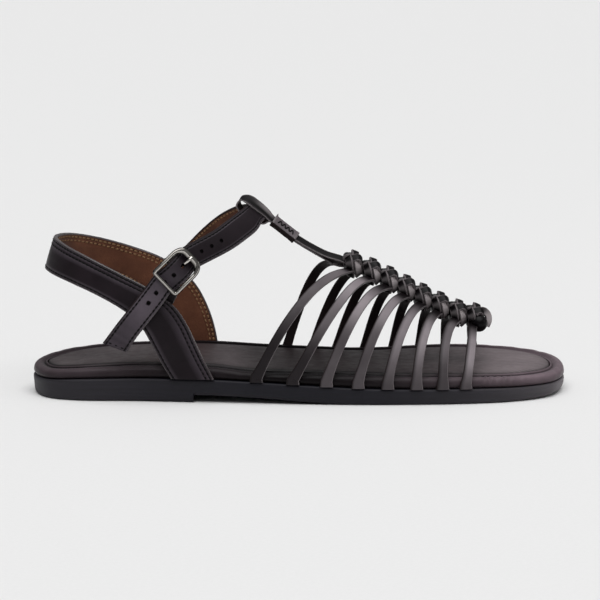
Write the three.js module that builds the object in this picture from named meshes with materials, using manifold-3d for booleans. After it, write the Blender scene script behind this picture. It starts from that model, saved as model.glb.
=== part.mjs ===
// Right strappy sandal: a flat leather sandal built as separate pieces on one last.
// Millimetres. +X to the toe, +Z up, -Y the lateral (outer) side, origin on the floor at the
// middle of the sole's box.
import * as THREE from "three";
import { mergeVertices } from "three/addons/utils/BufferGeometryUtils.js";
import Module from "manifold-3d";

const wasm = await Module();
wasm.setup();

// Driving dimensions
const LENGTH = 256; // outsole, heel to toe
const BALL_WIDTH = 92; // outsole, at the ball
const HALF = LENGTH / 2;
const GAP = 0.3; // between two pieces that meet
const BED_INSET = 1; // the footbed's side, in from the outsole's side, along the straps
const INSOLE_INSET = 7.4; // the insole's recess, in from the outsole's side
const INSOLE_LIFT = { lateral: 1, medial: -0.5 }; // the insole's edge above the rim's crest
const RECESS_DEPTH = 2.4; // from the insole's edge to the floor of the recess
const RECESS_LIP = 1.3; // from the insole's edge to the top of the recess's wall
const BREAST_X = -50; // front face of the heel
const STRAP = { width: 4.4, thickness: 1.2, flare: 1.4 }; // thin straps of the vamp
const KNOT = { length: 3.6, width: 5.6, height: 3.9, lift: 2.4, strip: 3.5, raise: 0.17 };
const KNOT_TURN = { slope: 0.4, yaw: 32, roll: 46 }; // share of the ridge's slope, and degrees
const LAST_KNOT = { stretch: 1.3, shift: 1.2 }; // the last knot ends in longer loops
const T_BAR = { width: 4, thickness: 0.85, lane: 0.5 }; // a doubled strip
const KEEPER = { x: -7.4, z: 77.3, slope: -38.2, roll: 40, length: 14, width: 5.7, height: 3.6, wall: 0.45 };
const HEEL_STRAP = { thickness: 2 };
const ANKLE = { width: 11.2, thickness: 2, holePitch: 6.1, holeRadius: 1 };
const BUCKLE = { length: 18.6, width: 16.2, wire: 2, bar: 1.7, barDrop: 3.4, pin: 1.5 };
const RIDGE_Y = -2; // the ridge of the instep runs along this line

// Outsole outline in plan, once round from the back of the heel along the lateral side:
// shares of the length from the heel, and of the ball width.
const OUTLINE = [
  { at: "heel back", along: 0, across: -0.085 },
  { at: "lateral heel corner", along: 0.029, across: -0.304 },
  { at: "lateral heel", along: 0.086, across: -0.387 },
  { at: "lateral seat", along: 0.2, across: -0.405 },
  { at: "lateral waist", along: 0.383, across: -0.462 },
  { at: "lateral shank", along: 0.52, across: -0.495 },
  { at: "lateral ball", along: 0.656, across: -0.505 },
  { at: "little toe", along: 0.781, across: -0.486 },
  { at: "lateral toe", along: 0.883, across: -0.43 },
  { at: "lateral toe corner", along: 0.957, across: -0.315 },
  { at: "lateral toe tip", along: 0.988, across: -0.175 },
  { at: "toe tip", along: 1, across: 0.03 },
  { at: "medial toe tip", along: 0.99, across: 0.21 },
  { at: "medial toe corner", along: 0.963, across: 0.342 },
  { at: "big toe", along: 0.91, across: 0.445 },
  { at: "medial ball front", along: 0.844, across: 0.49 },
  { at: "medial ball", along: 0.781, across: 0.493 },
  { at: "medial ball rear", along: 0.715, across: 0.447 },
  { at: "medial waist front", along: 0.617, across: 0.332 },
  { at: "medial waist", along: 0.49, across: 0.25 },
  { at: "medial shank", along: 0.375, across: 0.262 },
  { at: "medial seat", along: 0.23, across: 0.302 },
  { at: "medial heel", along: 0.11, across: 0.255 },
  { at: "medial heel corner", along: 0.036, across: 0.132 },
];

// Along the foot: height of the underside in front of the heel, of the outsole's top, and of the crest
// of the footbed's rolled rim on either side, and how far the rim stands in from the outsole's side.
const PROFILE = [
  { x: -128, floor: 3, seat: 9, lateral: 13.6, medial: 15.6, inset: 0.2 },
  { x: -117, floor: 3, seat: 9.4, lateral: 14, medial: 16.2, inset: 0.4 },
  { x: -102, floor: 3, seat: 10.4, lateral: 15.2, medial: 17.2, inset: 0.8 },
  { x: -70, floor: 3, seat: 10.9, lateral: 16.5, medial: 18.2, inset: BED_INSET },
  { x: -45, floor: 3.4, seat: 11, lateral: 16.4, medial: 18.7, inset: BED_INSET },
  { x: -20, floor: 2.6, seat: 10.2, lateral: 14.3, medial: 17.7, inset: BED_INSET },
  { x: 5, floor: 0.9, seat: 8.9, lateral: 13.9, medial: 16.3, inset: BED_INSET },
  { x: 25, floor: 0, seat: 7.9, lateral: 13.4, medial: 14.7, inset: BED_INSET },
  { x: 50, floor: 0, seat: 7.3, lateral: 12.7, medial: 13.7, inset: BED_INSET },
  { x: 84, floor: 0, seat: 7.1, lateral: 12.1, medial: 13.5, inset: BED_INSET },
  { x: 108, floor: 0.5, seat: 6.8, lateral: 11.6, medial: 13, inset: 0.5 },
  { x: 128, floor: 1.4, seat: 6.8, lateral: 11.6, medial: 12.6, inset: 0 },
];
const TILT = { from: -30, to: 15 }; // the rim rises from its lateral to its medial height over these y

// Ridge of the last under the knots.
const RIDGE = [
  { x: -20, z: 78 },
  { x: 0, z: 67.5 },
  { x: 18, z: 59.8 },
  { x: 26, z: 57.4 },
  { x: 43, z: 49.8 },
  { x: 60, z: 41 },
  { x: 77, z: 33.4 },
  { x: 92, z: 29.5 },
];

// Thin straps from the ankle to the toe: the knot, the foot of the strap on either side, where it
// reaches the spine, and how late it leans forward on its way up.
const STRAPS = [
  { knot: 24.8, lateral: -20.4, lateralTop: 26.3, lateralLean: 0.92, medial: -7, medialTop: 17.6 },
  { knot: 33.6, lateral: -3.4, lateralTop: 35.8, lateralLean: 0.86, medial: 5.6, medialTop: 30.6 },
  { knot: 41.9, lateral: 12.2, lateralTop: 44.2, lateralLean: 1.03, medial: 17.4, medialTop: 40 },
  { knot: 50.1, lateral: 26.9, lateralTop: 52.4, lateralLean: 1.07, medial: 31.6, medialTop: 48.4 },
  { knot: 58, lateral: 40.6, lateralTop: 60.2, lateralLean: 1.18, medial: 46.2, medialTop: 56.4 },
  { knot: 66.4, lateral: 54, lateralTop: 67.9, lateralLean: 1.6, medial: 60.2, medialTop: 64.6 },
  { knot: 75.2, lateral: 66.2, lateralTop: 76.6, lateralLean: 2.2, medial: 73.6, medialTop: 72 },
  { knot: 84.6, lateral: 77, lateralTop: 83.2, lateralLean: 0.9, medial: 87.6, medialTop: 83.6 },
];
const MEDIAL_LEAN = 0.95;

// Heel strap, from its lateral foot round the back of the heel to its medial foot: the edge that is
// lower at the back, and the upper edge. The first and last rows are set by the sole.
const HEEL_ROWS = [
  { low: [-64.2, -38.3, 18], high: [-44.8, -39.9, 20.5] },
  { low: [-68.4, -38.1, 26], high: [-48.6, -38.9, 28.5] },
  { low: [-72.8, -37.6, 34], high: [-52.4, -38, 36.5] },
  { low: [-77.5, -37, 39.6], high: [-58.2, -37.3, 45] },
  { low: [-84.5, -35.8, 44.6], high: [-68, -36.3, 52.2] },
  { low: [-95, -33, 50], high: [-83.5, -34, 60.2] },
  { low: [-107, -27, 54.6], high: [-98, -28.8, 66.8] },
  { low: [-117.3, -16.5, 57.6], high: [-110.6, -18.6, 71.8] },
  { low: [-121.3, -5, 58.9], high: [-116.6, -5, 74.4] },
  { low: [-117.3, 7, 58.8], high: [-111.5, 8.6, 74.2] },
  { low: [-106.5, 17.6, 56.8], high: [-99.5, 18.4, 71.2] },
  { low: [-94.5, 23.8, 53], high: [-84.5, 24, 66.4] },
  { low: [-82.5, 27.3, 47], high: [-68.5, 26.8, 60] },
  { low: [-74.3, 28.8, 40.3], high: [-57.5, 28.5, 52.6] },
  { low: [-69, 29.2, 33], high: [-50.8, 28.8, 45] },
  { low: [-65, 29, 25], high: [-45.8, 28, 35.4] },
  { low: [-61.5, 28.4, 18.5], high: [-42.4, 26.9, 25.4] },
];
const HEEL_FOOT = { low: -60, high: -39.8 };

// Ankle strap: middle of the strap, and the direction across it from the lower to the upper edge in
// half widths. It starts on the outside of the medial heel strap.
const MEDIAL_BRANCH = [
  { at: [-73.5, 31.2, 43], across: [-0.68, -0.05, 0.73] },
  { at: [-63.5, 31.5, 51.8], across: [-0.69, -0.05, 0.72] },
  { at: [-54, 29.2, 60.3], across: [-0.7, -0.02, 0.71] },
  { at: [-44.5, 22.4, 70.3], across: [-0.72, 0, 0.69] },
  { at: [-35.5, 14, 78.4], across: [-0.75, 0, 0.66] },
  { at: [-27.5, 6.4, 83.4], across: [-0.78, 0, 0.62] },
  { at: [-23, 2, 85], across: [-0.8, 0, 0.6] },
  { at: [-21.2, -2.5, 85.5], across: [-0.8, 0, 0.6] },
  { at: [-22.6, -7, 84.5], across: [-0.79, 0, 0.61] },
  { at: [-25.7, -11.6, 82.4], across: [-0.76, 0, 0.65] },
  { at: [-30.4, -17.3, 79.4], across: [-0.72, 0, 0.69] },
  { at: [-37.2, -24.8, 75], across: [-0.67, -0.05, 0.74] },
];
const TAIL = [
  { at: [-67.3, -40.2, 51], across: [-0.76, 0.02, 0.65] },
  { at: [-73.5, -40, 43], across: [-0.78, 0.02, 0.62] },
  { at: [-80, -40, 34.8], across: [-0.79, 0.02, 0.61] },
  { at: [-86.6, -40, 26.7], across: [-0.92, 0.02, 0.3] },
];
const BUCKLE_AT = new THREE.Vector3(-56.7, -41, 62.4);
const BUCKLE_OUT = new THREE.Vector3(0.26, -0.96, 0.1).normalize();
const BUCKLE_ALONG = new THREE.Vector3(0.7, 0.26, 0.68);

// Interpolation and vectors

const vec = (p) => new THREE.Vector3(...p);

// Monotone cubic through one column of a table sorted by x.
function smooth(rows, column, x) {
  const last = rows.length - 1;
  if (x <= rows[0].x) return rows[0][column];
  if (x >= rows[last].x) return rows[last][column];
  const i = rows.findIndex((row, k) => k < last && x < rows[k + 1].x);
  const rise = (k) => (rows[k + 1][column] - rows[k][column]) / (rows[k + 1].x - rows[k].x);
  const slope = (k) => {
    if (k === 0 || k === last) return 0;
    const [a, b] = [rise(k - 1), rise(k)];
    return a * b <= 0 ? 0 : (2 * a * b) / (a + b);
  };
  const h = rows[i + 1].x - rows[i].x;
  const t = (x - rows[i].x) / h;
  const [p, q] = [rows[i][column], rows[i + 1][column]];
  return (
    p * (1 + 2 * t) * (1 - t) ** 2 +
    q * t * t * (3 - 2 * t) +
    h * (slope(i) * t * (1 - t) ** 2 - slope(i + 1) * t * t * (1 - t))
  );
}

// Solids

function solid(geometry) {
  const bare = new THREE.BufferGeometry().setAttribute("position", geometry.getAttribute("position"));
  if (geometry.index) bare.setIndex(geometry.index);
  const merged = mergeVertices(bare, 1e-4);
  const made = (triVerts) =>
    new wasm.Manifold(
      new wasm.Mesh({ numProp: 3, vertProperties: merged.attributes.position.array, triVerts }),
    );
  const faces = new Uint32Array(merged.index.array);
  const first = made(faces);
  return first.volume() > 0 ? first : made(faces.slice().reverse());
}

function geometryOf(manifold) {
  const mesh = manifold.getMesh();
  return new THREE.BufferGeometry()
    .setAttribute("position", new THREE.BufferAttribute(mesh.vertProperties, 3))
    .setIndex(new THREE.BufferAttribute(mesh.triVerts, 1));
}

const join = (solids) => solids.reduce((whole, piece) => whole.add(piece));

// The same solid without the closed hollows and the slivers that joining left in it.
const SLIVER = 0.12;
const cleaned = (whole) =>
  join(whole.simplify(SLIVER).decompose().filter((piece) => piece.volume() > 0));

function placed(geometry, xAxis, yAxis, zAxis, origin) {
  const frame = new THREE.Matrix4().makeBasis(xAxis, yAxis, zAxis).setPosition(origin);
  return geometry.clone().applyMatrix4(frame);
}

// Closed solid through sections with equal numbers of points, its two ends capped by caps.
function loft(sections, cap) {
  const count = sections[0].length;
  const positions = sections.flat().flatMap((p) => [p.x, p.y, p.z]);
  const index = [];
  for (let s = 0; s + 1 < sections.length; s++) {
    for (let i = 0; i < count; i++) {
      const [a, b] = [s * count + i, s * count + ((i + 1) % count)];
      index.push(a, b, b + count, a, b + count, a + count);
    }
  }
  const top = (sections.length - 1) * count;
  for (const [a, b, c] of cap(count)) index.push(c, b, a, top + a, top + b, top + c);
  return new THREE.BufferGeometry()
    .setAttribute("position", new THREE.Float32BufferAttribute(positions, 3))
    .setIndex(index);
}

// A fan for a convex section.
function fanCap(count) {
  return Array.from({ length: count - 2 }, (_, i) => [0, i + 1, i + 2]);
}

// Rungs from side to side of a ring that runs heel, lateral side, toe, medial side.
function ladderCap(count) {
  const half = count / 2;
  const faces = [[0, 1, count - 1]];
  for (let k = 1; k < half - 1; k++) {
    faces.push([k, k + 1, count - k - 1], [k, count - k - 1, count - k]);
  }
  return [...faces, [half - 1, half, half + 1]];
}

// Sole

const OUTLINE_STEPS = 720;
const RUNGS = 28;
const BREAST_HALF_WIDTH = 0.15;

// The outline as two edges from heel to toe, fitted to the length and the ball width.
function outlineEdges() {
  const points = OUTLINE.map((p) => new THREE.Vector3(p.along * LENGTH, p.across * BALL_WIDTH, 0));
  const loop = new THREE.CatmullRomCurve3(points, true, "centripetal").getPoints(OUTLINE_STEPS);
  const box = new THREE.Box3().setFromPoints(loop);
  const size = box.getSize(new THREE.Vector3());
  const middle = box.getCenter(new THREE.Vector3());
  const fitted = loop.slice(0, -1).map((p) => ({
    x: ((p.x - middle.x) * LENGTH) / size.x,
    y: ((p.y - middle.y) * BALL_WIDTH) / size.y,
  }));
  const xs = fitted.map((p) => p.x);
  const heel = xs.indexOf(Math.min(...xs));
  const round = [...fitted.slice(heel), ...fitted.slice(0, heel + 1)];
  const toe = round.findIndex((p) => p.x === Math.max(...xs));
  return { lateral: round.slice(0, toe + 1), medial: round.slice(toe).reverse() };
}
const EDGES = outlineEdges();

function edgeY(side, x) {
  const edge = EDGES[side];
  const i = Math.max(1, edge.findIndex((p) => p.x >= x));
  const [a, b] = [edge[i - 1], edge[i]];
  const t = b.x === a.x ? 0 : THREE.MathUtils.clamp((x - a.x) / (b.x - a.x), 0, 1);
  return a.y + (b.y - a.y) * t;
}

function rungPositions() {
  const even = Array.from({ length: RUNGS + 1 }, (_, k) => -HALF * Math.cos((Math.PI * k) / RUNGS));
  const clear = even.filter((x) => Math.abs(x - BREAST_X) > 2);
  return [...clear, BREAST_X - BREAST_HALF_WIDTH, BREAST_X + BREAST_HALF_WIDTH].sort((a, b) => a - b);
}
const RUNG_X = rungPositions();

const floorZ = (x) => (x < BREAST_X ? 0 : smooth(PROFILE, "floor", x));
const seatZ = (x) => smooth(PROFILE, "seat", x);
const bedInset = (x) => smooth(PROFILE, "inset", x);

// Value that goes from a lateral to a medial one across the foot.
const acrossFoot = (lateral, medial, y) =>
  lateral + (medial - lateral) * THREE.MathUtils.smoothstep(y, TILT.from, TILT.to);
const crestZ = (x, y) => acrossFoot(smooth(PROFILE, "lateral", x), smooth(PROFILE, "medial", x), y);
const insoleZ = (x, y) => crestZ(x, y) + acrossFoot(INSOLE_LIFT.lateral, INSOLE_LIFT.medial, y);

const RIM = [
  ...RUNG_X.slice(0, -1).map((x) => ({ x, y: edgeY("lateral", x) })),
  ...RUNG_X.slice(1).reverse().map((x) => ({ x, y: edgeY("medial", x) })),
];

// The outline moved in by inset, each point at the height that its place in plan gives.
function ring(inset, height) {
  return RIM.map((p, i) => {
    const before = RIM[(i + RIM.length - 1) % RIM.length];
    const after = RIM[(i + 1) % RIM.length];
    const along = new THREE.Vector2(after.x - before.x, after.y - before.y).normalize();
    const y = p.y + along.x * inset(p.x);
    return new THREE.Vector3(p.x - along.y * inset(p.x), y, height(p.x, y));
  });
}

// Side of the outsole from the floor up: inset from the outline, and the rise from a height.
const SIDE = [
  { inset: 2.2, from: floorZ, rise: 0 },
  { inset: 1.1, from: floorZ, rise: 0.4 },
  { inset: 0.5, from: floorZ, rise: 1.6 },
  { inset: 0, from: seatZ, rise: -1.1 },
  { inset: 0.3, from: seatZ, rise: -0.3 },
  { inset: 1.1, from: seatZ, rise: 0 },
];

function outsole() {
  const rings = SIDE.map(({ inset, from, rise }) => ring(() => inset, (x) => from(x) + rise));
  return loft(rings, ladderCap);
}

// Rolled rim of the footbed: inset from its own side and share of its height.
const ROLL = [
  { inset: 2.4, share: 0 },
  { inset: 0.7, share: 0.12 },
  { inset: 0, share: 0.36 },
  { inset: 0.3, share: 0.66 },
  { inset: 1.3, share: 0.9 },
  { inset: 2.8, share: 1 },
  { inset: 4.6, share: 0.94 },
];

function footbed() {
  const base = (x) => seatZ(x) + GAP;
  const rolled = ROLL.map((row) =>
    ring(
      (x) => bedInset(x) + row.inset,
      (x, y) => base(x) + (crestZ(x, y) - base(x)) * row.share,
    ),
  );
  const recess = [RECESS_LIP, RECESS_DEPTH].map((down) =>
    ring(() => INSOLE_INSET, (x, y) => insoleZ(x, y) - down),
  );
  return loft([...rolled, ...recess], ladderCap);
}

// Insole from its underside to its padded middle: inset from its own edge, and rise above that edge.
const INSOLE_EDGE = [
  { inset: 0, rise: GAP - RECESS_DEPTH },
  { inset: 0, rise: -0.6 },
  { inset: 1, rise: 0.1 },
  { inset: 5, rise: 0.4 },
];

function insole() {
  const rings = INSOLE_EDGE.map(({ inset, rise }) =>
    ring(() => INSOLE_INSET + GAP + inset, (x, y) => insoleZ(x, y) + rise),
  );
  return loft(rings, ladderCap);
}

// Upper: thin straps on the last, knotted along the ridge of the instep

const STRAP_STEPS = 9;
const LAST_FULLNESS = 2.1; // exponent of the last's section: 2 is an ellipse
const FEATHER_SHARE = 0.55; // the straps stand upright against the footbed up to this share

const ridgeZ = (x) => smooth(RIDGE, "z", x);
const featherZ = (side, x) => seatZ(x) + (smooth(PROFILE, side, x) - seatZ(x)) * FEATHER_SHARE;

// Distance from the ridge to the middle of a strap of that thickness outside the footbed.
function reach(side, x, thickness) {
  const out = -BED_INSET + 2 * GAP + thickness / 2;
  const edge = edgeY(side, x);
  return edge + Math.sign(edge) * out - RIDGE_Y;
}

// Point of the last at a place along the foot; turn is 0 at the feather edge and a right angle at the
// ridge.
function lastPoint(side, x, turn, thickness) {
  const power = 2 / LAST_FULLNESS;
  const [c, s] = [Math.max(0, Math.cos(turn)), Math.max(0, Math.sin(turn))];
  const y = RIDGE_Y + reach(side, x, thickness) * c ** power;
  return new THREE.Vector3(x, y, featherZ(side, x) + (ridgeZ(x) - featherZ(side, x)) * s ** power);
}

function onLast(side, x, turn, thickness) {
  const nearby = { x: 1, turn: 0.02 };
  const at = (dx, dTurn) => lastPoint(side, x + dx, turn + dTurn, thickness);
  const along = at(nearby.x, 0).sub(at(-nearby.x, 0));
  const round = at(0, nearby.turn).sub(at(0, -nearby.turn));
  const normal = new THREE.Vector3().crossVectors(along, round).normalize();
  return { point: at(0, 0), normal: side === "lateral" ? normal : normal.negate() };
}

function strapPath(side, foot, top, lean) {
  const start = onLast(side, foot, 0, STRAP.thickness);
  const base = seatZ(foot) + 1.4 * GAP;
  const stand = [base, (base + start.point.z) / 2].map((z) => ({
    point: start.point.clone().setZ(z),
    normal: start.normal,
  }));
  const climb = Array.from({ length: STRAP_STEPS + 1 }, (_, j) => {
    const t = j / STRAP_STEPS;
    return onLast(side, foot + (top - foot) * t ** lean, (t * Math.PI) / 2, STRAP.thickness);
  });
  return [...stand, ...climb];
}

// Rectangle across a path; the width lies along the surface.
function rectangle(point, along, normal, width, thickness) {
  const across = new THREE.Vector3().crossVectors(normal, along).normalize().multiplyScalar(width / 2);
  const out = new THREE.Vector3().crossVectors(along, across).normalize().multiplyScalar(thickness / 2);
  return [
    [-1, -1],
    [1, -1],
    [1, 1],
    [-1, 1],
  ].map(([a, n]) => point.clone().addScaledVector(across, a).addScaledVector(out, n));
}

// Ribbon along a path of points and normals; widthAt takes the place along the path from 0 to 1.
function ribbon(path, widthAt, thickness) {
  const last = path.length - 1;
  const sections = path.map(({ point, normal }, i) => {
    const along = path[Math.min(i + 1, last)].point.clone().sub(path[Math.max(i - 1, 0)].point).normalize();
    return rectangle(point, along, normal, widthAt(i / last), thickness);
  });
  return loft(sections, fanCap);
}

function strap(side, row) {
  const lean = side === "lateral" ? row.lateralLean : MEDIAL_LEAN;
  const path = strapPath(side, row[side], row[`${side}Top`], lean);
  const flareEnd = 0.18;
  const widthAt = (t) => STRAP.width * (1 + (STRAP.flare - 1) * Math.max(0, 1 - t / flareEnd) ** 2);
  return ribbon(path, widthAt, STRAP.thickness);
}

const STRIP_STEPS = 4;
const STRIP_WRAP = THREE.MathUtils.degToRad(28); // the strips run this far below the knot's middle

// One strip over a knot, in the knot's own frame: it lies at an offset from the middle, runs along
// one axis, and goes over one crossing strip and under the other.
function knotStrip(alongX, offset, over) {
  const [run, side] = alongX ? [KNOT.length, KNOT.width] : [KNOT.width, KNOT.length];
  const narrowing = Math.sqrt(1 - (offset / side) ** 2);
  const path = Array.from({ length: STRIP_STEPS + 1 }, (_, j) => {
    const turn = -STRIP_WRAP + ((Math.PI + 2 * STRIP_WRAP) * j) / STRIP_STEPS;
    const swell = 1 - over * KNOT.raise * Math.sin(2 * turn) * (Math.sin(turn) > 0 ? 1 : 0);
    const u = run * narrowing * swell * Math.cos(turn);
    const z = KNOT.height * narrowing * swell * Math.sin(turn);
    const normal = new THREE.Vector3(u / run ** 2, offset / side ** 2, z / KNOT.height ** 2).normalize();
    const point = new THREE.Vector3(u, offset, z);
    return alongX ? { point, normal } : { point: swapped(point), normal: swapped(normal) };
  });
  return ribbon(path, () => KNOT.strip, STRAP.thickness);
}

const swapped = (p) => new THREE.Vector3(p.y, p.x, p.z);

// A knot of four interlaced strips.
function knot() {
  const spread = KNOT.strip * 0.49;
  const strips = [-1, 1].flatMap((s) => [knotStrip(true, s * spread, s), knotStrip(false, s * spread, -s)]);
  return join(strips.map(solid));
}

// Frame on the ridge, sloped by a share of the ridge's slope.
function ridgeFrame(x, share) {
  const step = 2;
  const rise = share * (ridgeZ(x + step) - ridgeZ(x - step));
  const along = new THREE.Vector3(2 * step, 0, rise).normalize();
  const across = new THREE.Vector3(0, 1, 0);
  const up = new THREE.Vector3().crossVectors(along, across);
  return { along, across, up, origin: new THREE.Vector3(x, RIDGE_Y, ridgeZ(x)) };
}

// The lateral end of each knot lies lower and further forward than its medial end.
function knots() {
  const one = geometryOf(knot());
  const end = one.clone().scale(LAST_KNOT.stretch, 1, 1).translate(LAST_KNOT.shift, 0, 0);
  const [yaw, roll] = [KNOT_TURN.yaw, KNOT_TURN.roll].map(THREE.MathUtils.degToRad);
  return STRAPS.map((row, i) => {
    const { along, across, up, origin } = ridgeFrame(row.knot, KNOT_TURN.slope);
    const middle = origin.addScaledVector(ridgeFrame(row.knot, 1).up, KNOT.lift);
    for (const axis of [along, across]) axis.applyAxisAngle(up, yaw);
    for (const axis of [across, up]) axis.applyAxisAngle(along, roll);
    const shape = i === STRAPS.length - 1 ? end : one;
    return solid(placed(shape, along, across, up, middle));
  });
}

// Core of the spine that the knots are tied round.
function spine() {
  const ends = { from: STRAPS[0].knot - 3, to: STRAPS[STRAPS.length - 1].knot + 3 };
  const steps = 8;
  const path = Array.from({ length: steps + 1 }, (_, j) => {
    const f = ridgeFrame(ends.from + ((ends.to - ends.from) * j) / steps, 1);
    return { point: f.origin.addScaledVector(f.up, 0.8 * KNOT.lift), normal: f.up };
  });
  return ribbon(path, () => KNOT.width, KNOT.height);
}

// T-bar: one strip from the first knot through the keeper, round the ankle strap and back

const keeperAlong = new THREE.Vector3(1, 0, 0).applyAxisAngle(
  new THREE.Vector3(0, 1, 0),
  -THREE.MathUtils.degToRad(KEEPER.slope),
);
const keeperAcross = new THREE.Vector3(0, 1, 0).applyAxisAngle(
  keeperAlong,
  THREE.MathUtils.degToRad(KEEPER.roll),
);
const keeperUp = new THREE.Vector3().crossVectors(keeperAlong, keeperAcross);
const keeperMiddle = new THREE.Vector3(KEEPER.x, RIDGE_Y, KEEPER.z);

// Place on a lane of the keeper, above or below its middle.
const lane = (along, above) =>
  keeperMiddle.clone().addScaledVector(keeperAlong, along).addScaledVector(keeperUp, above * T_BAR.lane);

// The strip's run outside the keeper: the two lanes to the knot, which part on their way, and the
// loop's bend.
const LANES_TO_KNOT = [
  { x: 5.2, z: 68.5, above: 0.55, below: 0.55 },
  { x: 12, z: 64.9, above: 0.8, below: 1 },
  { x: 19, z: 62.4, above: 1.2, below: 2.6 },
];
const LOOP = [
  { x: -15.9, z: 85.6 },
  { x: -20, z: 89.4 },
  { x: -24.4, z: 92.2 },
  { x: -27.8, z: 92 },
  { x: -29.4, z: 89.3 },
  { x: -27.8, z: 86.2 },
  { x: -23, z: 82.3 },
  { x: -17.8, z: 79.4 },
];

function tBar() {
  const inPlane = ({ x, z }) => new THREE.Vector3(x, RIDGE_Y, z);
  const knotEnd = ridgeFrame(STRAPS[0].knot, 1);
  const half = KEEPER.length / 2 + 1;
  const side = (sign, column) => {
    const parted = LANES_TO_KNOT.map((row) =>
      inPlane(row).addScaledVector(keeperUp, sign * row[column]),
    );
    const end = knotEnd.origin.clone().addScaledVector(knotEnd.up, KNOT.lift + sign * T_BAR.lane);
    return [lane(-half, sign), lane(0, sign), lane(half, sign), ...parted, end];
  };
  const points = [...side(1, "above").reverse(), ...LOOP.map(inPlane), ...side(-1, "below")];
  const path = points.map((point, i) => {
    const along = points[Math.min(i + 1, points.length - 1)].clone().sub(points[Math.max(i - 1, 0)]);
    return { point, normal: new THREE.Vector3().crossVectors(keeperAcross, along).normalize() };
  });
  return ribbon(path, () => T_BAR.width, T_BAR.thickness);
}

function upper() {
  const straps = STRAPS.flatMap((row) => [strap("lateral", row), strap("medial", row)]);
  return cleaned(join([...[spine(), tBar(), ...straps].map(solid), ...knots()]));
}

function roundedRectangle(width, height, radius, kind = THREE.Shape) {
  const [w, h] = [width / 2, height / 2];
  const shape = new kind();
  shape.moveTo(-w + radius, -h);
  shape.lineTo(w - radius, -h).absarc(w - radius, -h + radius, radius, -Math.PI / 2, 0);
  shape.lineTo(w, h - radius).absarc(w - radius, h - radius, radius, 0, Math.PI / 2);
  shape.lineTo(-w + radius, h).absarc(-w + radius, h - radius, radius, Math.PI / 2, Math.PI);
  shape.lineTo(-w, -h + radius).absarc(-w + radius, -h + radius, radius, Math.PI, 1.5 * Math.PI);
  return shape;
}

// Stitched leather sleeve round the two lanes of the T-bar.
function keeper() {
  const sleeve = roundedRectangle(KEEPER.width, KEEPER.height, 1);
  const [w, h] = [KEEPER.width - 2 * KEEPER.wall, KEEPER.height - 2 * KEEPER.wall];
  sleeve.holes.push(roundedRectangle(w, h, 0.4, THREE.Path));
  const options = { depth: KEEPER.length, bevelEnabled: false, curveSegments: 3 };
  const tube = new THREE.ExtrudeGeometry(sleeve, options);
  return placed(tube, keeperAcross, keeperUp, keeperAlong, lane(-KEEPER.length / 2, 0));
}

// Bands: wide straps between a lower and an upper edge

function band(rows, thickness, stepsPerRow) {
  const edge = (name) => new THREE.CatmullRomCurve3(rows.map((row) => row[name]), false, "centripetal");
  const [low, high] = [edge("low"), edge("high")];
  const steps = (rows.length - 1) * stepsPerRow;
  const stations = Array.from({ length: steps + 1 }, (_, j) => {
    const [a, b] = [low.getPoint(j / steps), high.getPoint(j / steps)];
    return { a, b, middle: a.clone().add(b).multiplyScalar(0.5) };
  });
  const sections = stations.map(({ a, b }, i) => {
    const next = stations[Math.min(i + 1, steps)].middle;
    const along = next.clone().sub(stations[Math.max(i - 1, 0)].middle);
    const out = new THREE.Vector3().crossVectors(along, b.clone().sub(a)).setLength(thickness / 2);
    return [a.clone().sub(out), a.clone().add(out), b.clone().add(out), b.clone().sub(out)];
  });
  return loft(sections, fanCap);
}

// Where a heel strap's foot stands on the outsole, outside the footbed.
function heelFoot(side) {
  const at = (x) =>
    new THREE.Vector3(x, RIDGE_Y + reach(side, x, HEEL_STRAP.thickness), seatZ(x) + GAP);
  return { low: at(HEEL_FOOT.low), high: at(HEEL_FOOT.high) };
}

function heelStrap() {
  const between = HEEL_ROWS.map((row) => ({ low: vec(row.low), high: vec(row.high) }));
  return band([heelFoot("lateral"), ...between, heelFoot("medial")], HEEL_STRAP.thickness, 2);
}

// Buckle on the lateral side: its own frame has u along the strap, v across it and n outwards

const buckleU = BUCKLE_ALONG.clone()
  .addScaledVector(BUCKLE_OUT, -BUCKLE_ALONG.dot(BUCKLE_OUT))
  .normalize();
const buckleV = new THREE.Vector3().crossVectors(BUCKLE_OUT, buckleU);
const buckleBars = BUCKLE.length / 2 - BUCKLE.wire / 2;

const onBuckle = (u, n) =>
  BUCKLE_AT.clone().addScaledVector(buckleU, u).addScaledVector(BUCKLE_OUT, n);
const buckleSolid = (geometry) => solid(placed(geometry, buckleU, buckleV, BUCKLE_OUT, BUCKLE_AT));

// Square at the near end, rounded at the end where the pin's tip rests.
function frameShape(grow, kind) {
  const [w, h] = [BUCKLE.length / 2 + grow, BUCKLE.width / 2 + grow];
  const round = 5 + grow;
  const shape = new kind();
  shape.moveTo(-w, -h);
  shape.lineTo(w - round, -h).absarc(w - round, -h + round, round, -Math.PI / 2, 0);
  shape.lineTo(w, h - round).absarc(w - round, h - round, round, 0, Math.PI / 2);
  shape.lineTo(-w, h);
  shape.closePath();
  return shape;
}

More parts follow.
